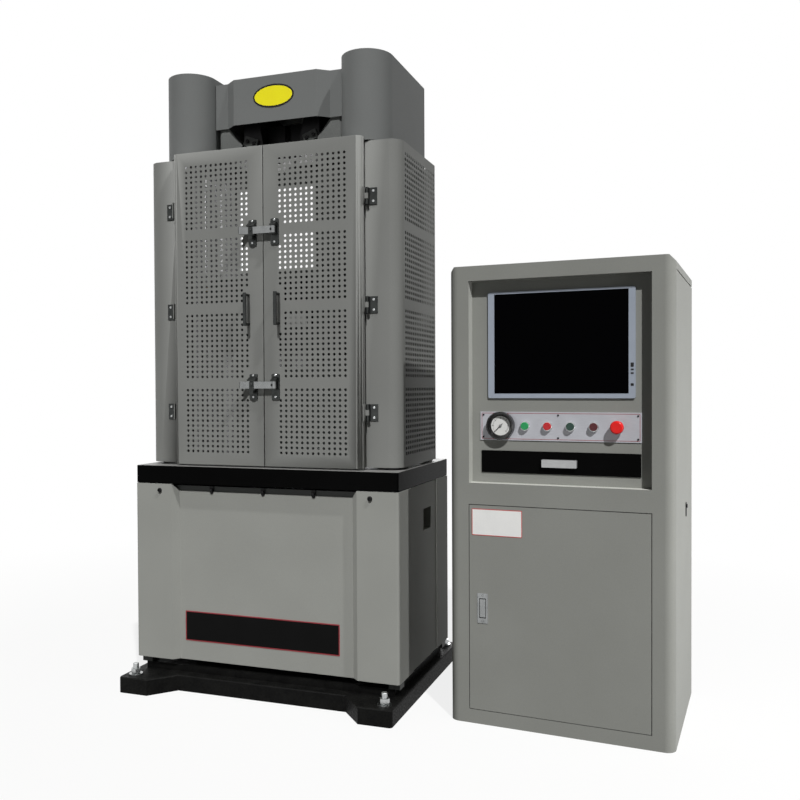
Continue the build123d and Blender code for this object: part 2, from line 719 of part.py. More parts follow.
def gusset(x0, x1, out, z):
    """Sloped shelf over the latch bar, from its bracket's plate to the shelf's outer edge."""
    y = -DOOR_FRONT
    top = z + LATCH_T + GUSSET_H
    edge = [(x0, y, z), (x0, y - out, z), (x0, y - out, z + LATCH_T), (x0, y - LATCH_T, top), (x0, y, top)]
    return extrude(make_face(Polyline(edge, close=True)), amount=x1 - x0, dir=(1, 0, 0))


def latch_keep(z):
    """Open-fronted bracket on the left door that the latch bar drops into."""
    x0 = -KEEP_X - PLATE_HALF_X
    x1 = -KEEP_X + PLATE_HALF_X
    keep = box(x0, x1, -DOOR_FRONT - LATCH_T, -DOOR_FRONT, z - PLATE_DOWN, z + PLATE_UP)
    keep = fillet(keep.edges().filter_by(Axis.Y), LATCH_T)
    gap = LATCH_H / 2 + KEEP_RUN
    keep += gusset(x0, x1, KEEP_OUT, z + gap)
    return keep + box(x0, x1, -DOOR_FRONT - KEEP_OUT, -DOOR_FRONT, z - gap - LATCH_T, z - gap)


def latch_seat(z):
    """Bracket on the right door with the pin that the latch bar turns on."""
    x = LATCH_PIN_X
    w = PLATE_HALF_X
    seat = box(x - w, x + w, -DOOR_FRONT - LATCH_T, -DOOR_FRONT, z - PLATE_DOWN, z + PLATE_UP)
    seat = fillet(seat.edges().filter_by(Axis.Y), LATCH_T)
    gap = LATCH_H / 2 + LATCH_RUN
    seat += gusset(x - SEAT_HALF, x + SEAT_HALF, SEAT_OUT, z + gap)
    seat += box(x - SEAT_HALF, x + SEAT_HALF, -DOOR_FRONT - SEAT_OUT, -DOOR_FRONT, z - gap - LATCH_T, z - gap)
    return seat + rod(x, -DOOR_FRONT - LATCH_PIN_OUT, z - gap - LATCH_T, z + gap + LATCH_T, PIN_R)


def latch_bar(z):
    """Flat bar with a round eye on its pin and a bent thumb tab at its free end."""
    y = -DOOR_FRONT - LATCH_PIN_OUT
    h = LATCH_H / 2
    free = LATCH_PIN_X - LATCH_REACH
    path = [(LATCH_PIN_X, y - LATCH_T), (free + LATCH_THUMB, y - LATCH_T), (free, y - LATCH_T - LATCH_THUMB)]
    bar = plan(band(path, -2 * LATCH_T), z - h, z + h)
    bar += rod(LATCH_PIN_X, y, z - h, z + h, LATCH_EYE_R)
    return bar - rod(LATCH_PIN_X, y, z - LATCH_H, z + LATCH_H, PIN_R + RUN_FIT)


def lower_crosshead():
    """Casting with a rounded body, sloped shoulders, and arms that taper to a boss round each nut."""
    x = LOW_HALF
    y = LOW_DEPTH
    s = LOW_SLOPE
    face = [(x - s, LOW_Z0), (x, LOW_Z0 + s), (x, LOW_Z1 - s), (x - s, LOW_Z1)]
    head = elevation(face + [(-px, pz) for px, pz in face[::-1]], -y, y)
    block = box(-x, x, -y, y, LOW_Z0, LOW_Z1)
    head &= round_upright(block, [(i * x, j * y) for i in (-1, 1) for j in (-1, 1)], LOW_R)
    boss = ARM_HALF - COL_X
    arm = [(COL_X, -boss), (COL_X, boss), (x - LOW_R, ARM_ROOT), (-x + LOW_R, ARM_ROOT)]
    head += plan(arm + [(-px, -py) for px, py in arm], ARM_Z0, ARM_Z1)
    for side in (-1, 1):
        head += rod(side * COL_X, 0, ARM_Z0, ARM_Z1, boss)
    head -= box(-CAVITY_HALF, CAVITY_HALF, -y - 1, y + 1, LOW_Z1 - LINER_SEAT, LOW_Z1 + 1)
    for side in (-1, 1):
        head -= rod(side * COL_X, 0, ARM_Z0 - 1, ARM_Z1 + 1, NUT_R + FIXED_FIT)
    return head


def lead_nut(side):
    x = side * COL_X
    top = ARM_Z1 + NUT_RIM_H
    nut = rod(x, 0, ARM_Z0, ARM_Z1, NUT_R) + rod(x, 0, ARM_Z1, top, NUT_R + NUT_RIM)
    return nut - rod(x, 0, ARM_Z0 - 1, top + 1, SCREW_R + RUN_FIT)


def console_outline(inset):
    """Front view of the console with its top corners cut off, or of its inside under a wall."""
    c = CAP_BEVEL - inset * (2 - math.sqrt(2))
    x1 = CON_W - inset
    top = CON_H - inset
    return [(inset, -1), (x1, -1), (x1, top - c), (x1 - c, top), (inset + c, top), (inset, top - c)]


def console_front():
    frame = box(0, CON_W, 0, CON_R, 0, CON_H)
    frame = round_upright(frame, [(0, 0), (CON_W, 0)], CON_R - 0.5)
    frame &= elevation(console_outline(0), -1, CON_R + 1)
    t = CON_SHEET
    core = box(t, CON_W - t, t, CON_R + 1, -1, CON_H)
    core = round_upright(core, [(t, t), (CON_W - t, t)], CON_R - 0.5 - t)
    frame -= core & elevation(console_outline(t), 0, CON_R + 2)
    frame -= box(WIN_X, CON_W - WIN_X, -1, t + 1, WIN_Z0, WIN_Z1)
    g = CDOOR_GAP
    return frame - box(CDOOR_X0 - g, CDOOR_X1 + g, -1, t + 1, CDOOR_Z0 - g, CDOOR_Z1 + g)


def console_side(x0):
    return box(x0, x0 + CON_SHEET, CON_R, CON_D - CON_SHEET, 0, CON_H - CAP_H - CAP_GAP)


def console_decks():
    """Floor, shelf, and the folded cap that closes the top behind the front frame."""
    t = CON_SHEET
    decks = []
    for z in (0, SHELF_Z):
        deck = box(t, CON_W - t, t, CON_D - t, z, z + t)
        decks.append(round_upright(deck, [(t, t), (CON_W - t, t)], CON_R - 0.5 - t))
    cap = box(0, CON_W, CON_R, CON_D, CON_H - CAP_H, CON_H)
    cap &= elevation(console_outline(0), CON_R, CON_D)
    cap -= elevation(console_outline(t), CON_R - 1, CON_D - t)
    return decks + [cap]


def console_back():
    y = CON_D - CON_SHEET
    back = box(0, CON_W, y, CON_D, 0, CON_H - CAP_H - CAP_GAP)
    x0 = (CON_W - LOUVRE_W) / 2
    for i in range(LOUVRES):
        z = CON_H - LOUVRE_DROP + LOUVRE_PITCH * i
        back -= box(x0, x0 + LOUVRE_W, y - 1, CON_D + 1, z, z + LOUVRE_H)
    for x in PORT_X:
        back += rod_y(x, PORT_Z, y - PORT_IN_L, CON_D + PORT_OUT_L, PORT_R + PORT_WALL)
        back -= rod_y(x, PORT_Z, y - PORT_IN_L - 1, CON_D + PORT_OUT_L + 1, PORT_R)
    return back


def recess_pan():
    t = CON_SHEET
    y1 = WIN_DEPTH + t
    pan = box(WIN_X - t, CON_W - WIN_X + t, t, y1, WIN_Z0 - t, WIN_Z1 + t)
    pan -= box(WIN_X, CON_W - WIN_X, t - 1, WIN_DEPTH, WIN_Z0, WIN_Z1)
    c = CUTOUT_IN
    pan -= box(SCREEN_X0 + c, SCREEN_X1 - c, WIN_DEPTH - 1, y1 + 1, SCREEN_Z0 + c, SCREEN_Z1 - c)
    x0 = DRAWER_X0 + TRAY_IN - 2
    x1 = DRAWER_X1 - TRAY_IN + 2
    pan -= box(x0, x1, WIN_DEPTH - 1, y1 + 1, DRAWER_Z0 + TRAY_LIFT - 2, DRAWER_Z1 - TRAY_LIFT + 2)
    return pan - panel_holes(y1 + 1)


def panel_holes(y1):
    y0 = WIN_DEPTH - STRIP_T - 1
    holes = rod_y(GAUGE_X, ROW_Z, y0, y1, GAUGE_BODY_R + HOLE_FIT)
    for x in list(BUTTONS.values()) + [ESTOP_X]:
        holes += rod_y(x, ROW_Z, y0, y1, BARREL_R + HOLE_FIT)
    return holes


def control_strip():
    y1 = WIN_DEPTH
    return box(STRIP_X0, STRIP_X1, y1 - STRIP_T, y1, STRIP_Z0, STRIP_Z1) - panel_holes(y1 + 1)


def monitor():
    y0 = WIN_DEPTH - BEZEL_T
    x0 = SCREEN_X0 - BEZEL_SIDE
    x1 = SCREEN_X1 + BEZEL_SIDE
    body = box(x0, x1, y0, WIN_DEPTH, SCREEN_Z0 - BEZEL_LOW, SCREEN_Z1 + BEZEL_TOP)
    body = fillet(body.edges().filter_by(Axis.Y), BEZEL_ROUND)
    wide = SCREEN_X1 - SCREEN_X0 - 2 * CASE_IN
    high = SCREEN_Z1 - SCREEN_Z0 - 2 * CASE_IN
    middle = ((SCREEN_X0 + SCREEN_X1) / 2, 0, (SCREEN_Z0 + SCREEN_Z1) / 2)
    near = Plane(origin=(middle[0], y0 + BEZEL_T, middle[2]), x_dir=(1, 0, 0), z_dir=(0, 1, 0))
    far = Plane(origin=(middle[0], WIN_DEPTH + CASE_D, middle[2]), x_dir=(1, 0, 0), z_dir=(0, 1, 0))
    small = Rectangle(wide - 2 * CASE_TAPER, high - 2 * CASE_TAPER)
    body += loft([near * Rectangle(wide, high), far * small])
    return body - box(SCREEN_X0, SCREEN_X1, y0 - 1, y0 + SCREEN_SUNK, SCREEN_Z0, SCREEN_Z1)


def monitor_screen():
    y1 = WIN_DEPTH - BEZEL_T + SCREEN_SUNK
    g = SHEET_GAP
    return box(SCREEN_X0 + g, SCREEN_X1 - g, y1 - SCREEN_T, y1, SCREEN_Z0 + g, SCREEN_Z1 - g)


def gauge_case():
    """Turned case: a body behind the strip, a thick rim, and a funnel down to the dial and its post."""
    y1 = WIN_DEPTH - STRIP_T
    lip = GAUGE_R - GAUGE_LIP
    half = [(0, y1 + GAUGE_BEHIND), (GAUGE_BODY_R, y1 + GAUGE_BEHIND), (GAUGE_BODY_R, y1), (GAUGE_R, y1)]
    half += [(GAUGE_R, y1 - GAUGE_OUT + GAUGE_EDGE), (GAUGE_R - GAUGE_EDGE, y1 - GAUGE_OUT)]
    half += [(lip, y1 - GAUGE_OUT), (DIAL_R, y1 - DIAL_OUT), (POST_R, y1 - DIAL_OUT)]
    half += [(POST_R, y1 - POST_OUT), (0, y1 - POST_OUT)]
    return Pos(GAUGE_X, 0, ROW_Z) * revolve(make_face(Polyline(half, close=True)), Axis.Y)


def gauge_needle():
    """Pointer at its zero stop, low on the left of the dial."""
    y = WIN_DEPTH - STRIP_T - NEEDLE_OUT
    hub = Rot(90, 0, 0) * Cylinder(NEEDLE_HUB_R, NEEDLE_T)
    arm = Pos(NEEDLE_L / 2 - NEEDLE_TAIL, 0, 0) * Box(NEEDLE_L, NEEDLE_W, NEEDLE_T)
    pointer = hub + Rot(0, 135, 0) * arm - Rot(90, 0, 0) * Cylinder(POST_R + RUN_FIT, 2 * NEEDLE_T)
    return Pos(GAUGE_X, y, ROW_Z) * pointer


def button_bezel(x):
    y1 = WIN_DEPTH - STRIP_T
    ring = rod_y(x, ROW_Z, y1 - BEZEL_OUT, y1, BEZEL_R)
    ring = chamfer(ring.edges().sort_by(Axis.Y)[0], (BEZEL_R - BUTTON_R) / 3)
    ring += rod_y(x, ROW_Z, y1, y1 + BARREL_L, BARREL_R)
    ring -= rod_y(x, ROW_Z, y1 - BEZEL_OUT - 1, y1 - BEZEL_FLOOR, BUTTON_R + RUN_FIT)
    return ring - rod_y(x, ROW_Z, y1 - BEZEL_FLOOR - 1, y1 + BARREL_L - BEZEL_FLOOR, STEM_R + RUN_FIT)


def button(x):
    """Push-button cap with a stem that runs in the barrel."""
    y1 = WIN_DEPTH - STRIP_T
    back = y1 - BEZEL_FLOOR - BUTTON_STROKE - BUTTON_SPARE
    cap = rod_y(x, ROW_Z, y1 - BUTTON_OUT, back, BUTTON_R)
    cap = fillet(cap.edges().sort_by(Axis.Y)[0], BUTTON_EDGE)
    return cap + rod_y(x, ROW_Z, back, y1 + BARREL_L / 2, STEM_R)


def estop_collar():
    y1 = WIN_DEPTH - STRIP_T
    ring = rod_y(ESTOP_X, ROW_Z, y1 - ESTOP_RING_OUT, y1, ESTOP_RING_R)
    ring += rod_y(ESTOP_X, ROW_Z, y1, y1 + ESTOP_RING_IN, BARREL_R)
    floor = y1 + ESTOP_RING_IN - ESTOP_RING_FLOOR
    return ring - rod_y(ESTOP_X, ROW_Z, y1 - ESTOP_RING_OUT - 1, floor, ESTOP_STEM_R + RUN_FIT)


def estop_button():
    y1 = WIN_DEPTH - STRIP_T
    under = y1 - ESTOP_OUT + ESTOP_HEAD_T
    head = rod_y(ESTOP_X, ROW_Z, y1 - ESTOP_OUT, under, ESTOP_R)
    head = fillet(head.edges().sort_by(Axis.Y)[0], ESTOP_EDGE)
    return head + rod_y(ESTOP_X, ROW_Z, under - 2, y1 + ESTOP_STEM_IN, ESTOP_STEM_R)


def keyboard_drawer():
    y0 = WIN_DEPTH - DRAWER_OUT
    y1 = WIN_DEPTH - DRAWER_GAP
    drawer = box(DRAWER_X0, DRAWER_X1, y0, y1, DRAWER_Z0, DRAWER_Z1)
    x0 = DRAWER_X0 + TRAY_IN
    x1 = DRAWER_X1 - TRAY_IN
    z0 = DRAWER_Z0 + TRAY_LIFT
    z1 = DRAWER_Z1 - TRAY_LIFT
    drawer += box(x0, x1, y1, y1 + TRAY_D, z0, z1)
    return drawer - box(x0 + 2, x1 - 2, y1, y1 + TRAY_D - 2, z0 + 2, z1 + 1)


def drawer_pull():
    y1 = WIN_DEPTH - DRAWER_OUT
    x0 = (DRAWER_X0 + DRAWER_X1 - CUP_W) / 2 + CUP_SHIFT
    x1 = x0 + CUP_W
    z0 = (DRAWER_Z0 + DRAWER_Z1) / 2 - CUP_DROP
    pull = box(x0, x1, y1 - CUP_OUT, y1, z0, z0 + CUP_H)
    pull = fillet(pull.edges().filter_by(Axis.Y), CUP_R)
    hollow_y = (y1 - CUP_OUT + CUP_SKIN, y1 - CUP_BACK)
    return pull - box(x0 + CUP_WALL, x1 - CUP_WALL, *hollow_y, z0 - 1, z0 + CUP_H - CUP_LIP)


def drawer_rail(x0):
    y0 = WIN_DEPTH + CON_SHEET + 2
    return box(x0, x0 + 10, y0, y0 + TRAY_D, SHELF_Z + CON_SHEET, DRAWER_Z1 - 20)


def console_door():
    t = SHEET
    pan = box(CDOOR_X0, CDOOR_X1, 0, CDOOR_T, CDOOR_Z0, CDOOR_Z1)
    pan -= box(CDOOR_X0 + t, CDOOR_X1 - t, t, CDOOR_T + 1, CDOOR_Z0 + t, CDOOR_Z1 - t)
    pan -= box(PADDLE_X - 13.5, PADDLE_X + 13.5, -1, t + 1, PADDLE_Z0 + 13, PADDLE_Z1 - 13)
    pin_x = CDOOR_X1 - CDOOR_PIN_IN
    return pan - rod(pin_x, CDOOR_PIN_Y, CDOOR_Z0 - 1, CDOOR_Z1 + 1, PIN_R + RUN_FIT)


def door_pivot(z, inward):
    """Bracket behind the front frame with a pin into the door's flange."""
    pin_x = CDOOR_X1 - CDOOR_PIN_IN
    z0 = z - inward * 6
    z1 = z - inward * 20
    block = box(pin_x - 10, pin_x + 10, CON_SHEET, CON_SHEET + 14, min(z0, z1), max(z0, z1))
    z2 = z + inward * 8
    return block + rod(pin_x, CDOOR_PIN_Y, min(z0, z2), max(z0, z2), PIN_R)


def latch_plate():
    plate = box(PADDLE_X - 17, PADDLE_X + 17, -2, 0, PADDLE_Z0, PADDLE_Z1)
    plate += box(PADDLE_X - 13, PADDLE_X + 13, 0, 16, PADDLE_Z0 + 14, PADDLE_Z1 - 14)
    plate -= box(PADDLE_X - 11, PADDLE_X + 11, -3, 14, PADDLE_Z0 + 16, PADDLE_Z1 - 16)
    return plate - rod_x(4, PADDLE_Z1 - 25, PADDLE_X - 14, PADDLE_X + 14, 2 + RUN_FIT)


def paddle():
    lever = box(PADDLE_X - 9, PADDLE_X + 9, -1.5, 6.5, PADDLE_Z0 + 19, PADDLE_Z1 - 19)
    return lever + rod_x(4, PADDLE_Z1 - 25, PADDLE_X - 12.5, PADDLE_X + 12.5, 2)


def oil_tank():
    t = TANK_T
    tank = box(TANK_X0, TANK_X1, TANK_Y0, TANK_Y1, CON_SHEET, TANK_TOP)
    tank -= box(TANK_X0 + t, TANK_X1 - t, TANK_Y0 + t, TANK_Y1 - t, CON_SHEET + t, TANK_TOP - t)
    x = TANK_X0 + FILLER_IN
    y = TANK_Y0 + FILLER_IN
    tank += rod(x, y, TANK_TOP - t, TANK_TOP + FILLER_H, FILLER_R)
    return tank - rod(x, y, TANK_TOP - t - 1, TANK_TOP + FILLER_H + 1, FILLER_BORE_R)


def pump_motor():
    """Flange motor standing on the tank, with cooling fins, a fan cowl and a terminal box."""
    z0 = TANK_TOP
    z1 = z0 + MOTOR_FLANGE_T
    z2 = z1 + MOTOR_H
    motor = rod(0, 0, z0, z1, MOTOR_FLANGE_R) + rod(0, 0, z1, z2, MOTOR_R)
    fin = box(0, MOTOR_R + FIN_OUT, -FIN_T / 2, FIN_T / 2, z1, z2)
    for i in range(MOTOR_FINS):
        motor += Rot(0, 0, 360 / MOTOR_FINS * i) * fin
    cowl = rod(0, 0, z2, z2 + COWL_H, COWL_R)
    motor += fillet(cowl.edges().sort_by(Axis.Z)[-1], COWL_EDGE)
    middle = (z1 + z2) / 2
    w = TERMINAL_W / 2
    motor += box(MOTOR_R / 2, TERMINAL_OUT, -w, w, middle - TERMINAL_H / 2, middle + TERMINAL_H / 2)
    return Pos(TANK_X0 + MOTOR_IN, (TANK_Y0 + TANK_Y1) / 2, 0) * motor


save("base_plate", base_plate())
save("anchor_studs", *[anchor_stud(sx * ANCHOR_X, sy * ANCHOR_Y) for sx in (-1, 1) for sy in (-1, 1)])
save("housing_front", housing_cover())
save("housing_rear", turned(housing_cover()))
save("housing_sides", housing_side(), flip_x(housing_side()))
save("housing_frame", housing_frame())
save("cylinder", cylinder())
save("screw_drives", screw_drive(-1), screw_drive(1))
save("lead_screw_left", lead_screw(-1))
save("lead_screw_right", lead_screw(1))

save("piston", rod(0, 0, PISTON_Z0, TABLE_Z0, PISTON_R))
save("worktable", worktable())
platen = rod(0, 0, TABLE_Z1, TABLE_Z1 + PLATEN_T, PLATEN_R)
save("lower_platen", chamfer(platen.edges().sort_by(Axis.Z)[-1], 2))
save("columns", *[column(sx * COL_X, sy * COL_Y) for sx in (-1, 1) for sy in (-1, 1)])
save("upper_crosshead", upper_crosshead() + column_cover_stay(-1) + column_cover_stay(1))
upper_liner, upper_jaw = grip_pair(HEAD_Z0, 1)
save("upper_liners", upper_liner, flip_x(upper_liner))
save("upper_jaw_right", upper_jaw)
save("upper_jaw_left", flip_x(upper_jaw))
save("column_covers", column_cover(-1), column_cover(1))
save("crosshead_hood", crosshead_hood())
save("side_panel_right", side_panel())
save("side_panel_left", flip_x(side_panel() - rear_window()))
fixed_leaves = [hinge_fixed(z) for z in HINGE_Z]
save("hinge_leaves", *fixed_leaves, *[flip_x(s) for s in fixed_leaves])

save("door_right", door())
save("door_left", flip_x(door()))
save("door_fittings_right", pull_handle(HANDLE_X), *[latch_seat(z) for z in LATCH_Z])
save("door_fittings_left", pull_handle(-HANDLE_X), *[latch_keep(z) for z in LATCH_Z])
save("latch_bar_lower", latch_bar(LATCH_Z[0]))
save("latch_bar_upper", latch_bar(LATCH_Z[1]))

save("lower_crosshead", lower_crosshead())
lower_liner, lower_jaw = grip_pair(LOW_Z1, -1)
save("lower_liners", lower_liner, flip_x(lower_liner))
save("lower_jaw_right", lower_jaw)
save("lower_jaw_left", flip_x(lower_jaw))
save("lead_nuts", lead_nut(-1), lead_nut(1))
save("upper_platen", chamfer(rod(0, 0, LOW_Z0 - PLATEN_T, LOW_Z0, PLATEN_R).edges().sort_by(Axis.Z)[0], 2))

save_console("console_front", console_front())
save_console("console_sides", console_side(0), console_side(CON_W - CON_SHEET))
save_console("console_decks", *console_decks())
save_console("console_back", console_back())
save_console("recess_pan", recess_pan())
save_console("monitor", monitor())
save_console("monitor_screen", monitor_screen())
save_console("control_strip", control_strip())
save_console("gauge_case", gauge_case())
save_console("gauge_needle", gauge_needle())
save_console("button_bezels", *[button_bezel(x) for x in BUTTONS.values()], estop_collar())
for button_name, button_x in BUTTONS.items():
    save_console(button_name, button(button_x))
save_console("estop_button", estop_button())
save_console("keyboard_drawer", keyboard_drawer())
save_console("drawer_pull", drawer_pull())
rail_gap = DRAWER_X0 + TRAY_IN - SHEET_GAP
save_console("drawer_rails", drawer_rail(rail_gap - 10), drawer_rail(DRAWER_X0 + DRAWER_X1 - rail_gap))
save_console("console_door", console_door())
save_console("door_pivots", door_pivot(CDOOR_Z0, 1), door_pivot(CDOOR_Z1, -1))
save_console("latch_plate", latch_plate())
save_console("latch_paddle", paddle())
save_console("oil_tank", oil_tank())
save_console("pump_motor", pump_motor())
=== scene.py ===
# %% [markdown]
# A universal testing machine pulls or presses a specimen until it gives way. The load frame on the
# left holds the specimen behind two perforated doors, and the console beside it drives the oil.
# The solids come in as a fixed frame in metres, so nothing here is fitted by eye: every piece
# below is placed from the same numbers in millimetres.

# %% Load the solids
import json
import math

import bmesh
import bpy
from mathutils import Matrix, Vector

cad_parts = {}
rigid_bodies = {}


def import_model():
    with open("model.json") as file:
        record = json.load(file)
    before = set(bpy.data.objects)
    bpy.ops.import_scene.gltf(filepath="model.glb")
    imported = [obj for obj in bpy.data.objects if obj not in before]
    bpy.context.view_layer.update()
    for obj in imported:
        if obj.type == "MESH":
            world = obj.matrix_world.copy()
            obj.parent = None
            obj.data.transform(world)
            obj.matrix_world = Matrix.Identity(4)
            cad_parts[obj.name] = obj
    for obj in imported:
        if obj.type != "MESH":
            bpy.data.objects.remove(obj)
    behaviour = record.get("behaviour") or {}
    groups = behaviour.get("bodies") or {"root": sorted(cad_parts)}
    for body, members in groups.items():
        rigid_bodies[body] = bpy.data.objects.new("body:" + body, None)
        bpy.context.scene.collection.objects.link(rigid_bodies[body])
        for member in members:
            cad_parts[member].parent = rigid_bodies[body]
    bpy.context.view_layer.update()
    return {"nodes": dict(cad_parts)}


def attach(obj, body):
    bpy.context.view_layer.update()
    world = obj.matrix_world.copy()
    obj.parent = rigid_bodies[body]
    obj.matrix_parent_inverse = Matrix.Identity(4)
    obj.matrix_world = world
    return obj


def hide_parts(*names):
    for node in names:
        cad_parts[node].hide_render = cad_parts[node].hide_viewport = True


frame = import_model()
nodes = frame["nodes"]
MM = 0.001

# %% [markdown]
# The camera stands a little to the right, at chest height. A camera could be aimed with a Track To
# constraint, but a roll of a quarter degree matters when edges run the height of the picture, so
# its axes are written out and put into its matrix.

# %% Camera
EYE = Vector((1.4267, -2.9186, 1.0727))
YAW = 0.3357
PITCH = 0.0162
ROLL = -0.0045
FOCAL_PX = 866.28
PICTURE_PX = 800
SENSOR_MM = 36.0

ahead = Vector((-math.sin(YAW), math.cos(YAW), 0))
forward = ahead * math.cos(PITCH) - Vector((0, 0, math.sin(PITCH)))
level = Vector((math.cos(YAW), math.sin(YAW), 0))
right = level * math.cos(ROLL) + level.cross(forward) * math.sin(ROLL)
up = right.cross(forward)
lens = bpy.data.cameras.new("camera")
lens.sensor_width = SENSOR_MM
lens.lens = FOCAL_PX * SENSOR_MM / PICTURE_PX
camera = bpy.data.objects.new("camera", lens)
axes = Matrix((right, up, -forward)).transposed().to_4x4()
camera.matrix_world = Matrix.Translation(EYE) @ axes
bpy.context.scene.collection.objects.link(camera)
bpy.context.scene.camera = camera
print("lens", round(lens.lens, 2), "mm")

# %% [markdown]
# Every finish below is a small tree of nodes. One helper turns an sRGB hex value into the linear
# numbers that the shader wants, and one adds a node with its settings and links. From these a
# third builds a finish: real paint and metal are never one flat tone, so the colour drifts in
# patches and a fine grain moves the gloss and the height. An image could do that, but noise needs
# no unwrapping and its scale is a real size in millimetres.

# %% Helpers for finishes
# A Mix node keeps sockets for every kind of data, and these are the ones for colours.
COLOUR_A, COLOUR_B, COLOUR_OUT = 6, 7, 2


def linear(hex_code):
    """sRGB hex such as #8a8b88 as linear RGBA."""
    parts = [int(hex_code[i:i + 2], 16) / 255 for i in (1, 3, 5)]
    return [c / 12.92 if c <= 0.04045 else ((c + 0.055) / 1.055) ** 2.4 for c in parts] + [1.0]


def add(tree, kind, inputs=None, **settings):
    """A node of a kind; inputs are constants or the outputs to link from."""
    made = tree.nodes.new("ShaderNode" + kind)
    for key, value in settings.items():
        setattr(made, key, value)
    for key, value in (inputs or {}).items():
        if isinstance(value, bpy.types.NodeSocket):
            tree.links.new(value, made.inputs[key])
        else:
            made.inputs[key].default_value = value
    return made


def surface(name, light, dark, patch_mm, grain_mm, rough, bump_mm,
            stretch=(1, 1, 1), metallic=0.0, specular=0.5):
    """A finish between two tones, with grain from rough[0] to rough[1] in gloss and a low bump."""
    material = bpy.data.materials.new(name)
    material.use_nodes = True
    tree = material.node_tree
    shader = tree.nodes["Principled BSDF"]
    shader.inputs["Metallic"].default_value = metallic
    shader.inputs["Specular IOR Level"].default_value = specular
    place = add(tree, "TexCoord").outputs["Object"]
    pulled = add(tree, "Mapping", {"Vector": place, "Scale": stretch}).outputs["Vector"]
    patch = add(tree, "TexNoise", {"Vector": place, "Scale": 1 / (patch_mm * MM), "Detail": 3.0})
    grain = add(tree, "TexNoise", {"Vector": pulled, "Scale": 1 / (grain_mm * MM), "Detail": 2.0})
    drift = add(tree, "MapRange", {"Value": patch.outputs[0], "From Min": 0.35, "From Max": 0.65})
    fleck = add(tree, "MapRange", {"Value": grain.outputs[0], "From Min": 0.3, "From Max": 0.7})
    tone = add(tree, "Math", {0: drift.outputs[0], 1: fleck.outputs[0]}, operation="ADD")
    half = add(tree, "Math", {0: tone.outputs[0], 1: 0.5}, operation="MULTIPLY")
    ends = {0: half.outputs[0], COLOUR_A: linear(light), COLOUR_B: linear(dark)}
    colour = add(tree, "Mix", ends, data_type="RGBA")
    span = {"Value": fleck.outputs[0], "To Min": rough[0], "To Max": rough[1]}
    tree.links.new(colour.outputs[COLOUR_OUT], shader.inputs["Base Color"])
    tree.links.new(add(tree, "MapRange", span).outputs[0], shader.inputs["Roughness"])
    if bump_mm:
        height = {"Height": grain.outputs[0], "Strength": 1.0, "Distance": bump_mm * MM}
        tree.links.new(add(tree, "Bump", height).outputs[0], shader.inputs["Normal"])
    return material


def dress(material, *names):
    """Gives CAD nodes a finish."""
    for name in names:
        mesh = nodes[name].data
        mesh.materials.clear()
        mesh.materials.append(material)
    print(material.name, "on", len(names), "nodes")


# %% [markdown]
# The housings, covers, doors and console are folded sheet steel with a baked polyester powder
# coat. Powder melts into a skin with a faint orange peel, so it looks satin, and big sheets carry
# slow drifts of tone. Four tones of one grey are used, deepest on the top and palest on the base:
# painted light, for light that falls brighter on the lower fronts. The real peel is about 1 mm
# across, too fine to show here, so it is drawn three times as coarse.

# %% Powder-coated sheet steel
SHEET = {"patch_mm": 240, "grain_mm": 3, "rough": (0.42, 0.52), "bump_mm": 0.05}
CONSOLE_GREYS = ("#91928d", "#8a8b86")

# Painted light: the tones run from deep on the top to pale on the base, for brighter light low
# down.
grey_coat = surface("powder_coat_grey", "#888986", "#81827f", **SHEET, specular=0.12)
dress(grey_coat, "drawer_rails", "door_pivots")
deep_coat = surface("powder_coat_deep_grey", "#7b7d7c", "#757776", **SHEET, specular=0.08)
dress(deep_coat, "column_covers", "crosshead_hood")
pale_coat = surface("powder_coat_pale_grey", "#9fa09b", "#989994", **SHEET, specular=0.06)
dress(pale_coat, "housing_front", "housing_rear", "housing_sides")
console_coat = surface("powder_coat_console_grey", *CONSOLE_GREYS, **SHEET, specular=0.12)
dress(console_coat, "console_front", "console_sides", "console_decks", "console_back")
dress(console_coat, "console_door")
black_coat = surface(
    "powder_coat_black", "#080808", "#050505", 120, 3, (0.40, 0.52), 0.05, specular=0.015
)
dress(black_coat, "keyboard_drawer")
# Painted shade: the housing frame in the notch under the table is dark grey for the table's shade.
dark_coat = surface(
    "powder_coat_dark_grey", "#4a4c4a", "#424442", 120, 3, (0.42, 0.54), 0.05, specular=0.2
)
dress(dark_coat, "housing_frame")

# %% [markdown]
# The two crossheads, the cylinder and the gear cases are iron castings under grey paint, and the
# base plate is one under black paint. The lower crosshead inside the doors is painted darker grey
# for the shade it stands in: painted shade. A sand mould leaves a skin about 5 mm across that
# paint doesn't hide, so the grain is coarser than on sheet and stands higher.

# %% Painted castings
CASTING = {"patch_mm": 90, "grain_mm": 5, "rough": (0.45, 0.6), "bump_mm": 0.35}

grey_casting = surface("painted_casting_grey", "#7b7d7b", "#6e706e", **CASTING, specular=0.12)
dress(grey_casting, "upper_crosshead", "cylinder", "screw_drives")
# Painted shade: the lower crosshead is darkened for the shade inside the doors.
dark_casting = surface("painted_casting_dark", "#333635", "#272a29", **CASTING, specular=0.2)
dress(dark_casting, "lower_crosshead")
black_casting = surface(
    "painted_casting_black", "#151514", "#040404", 45, 6, (0.40, 0.65), 0.8, specular=0.06
)
dress(black_casting, "base_plate")
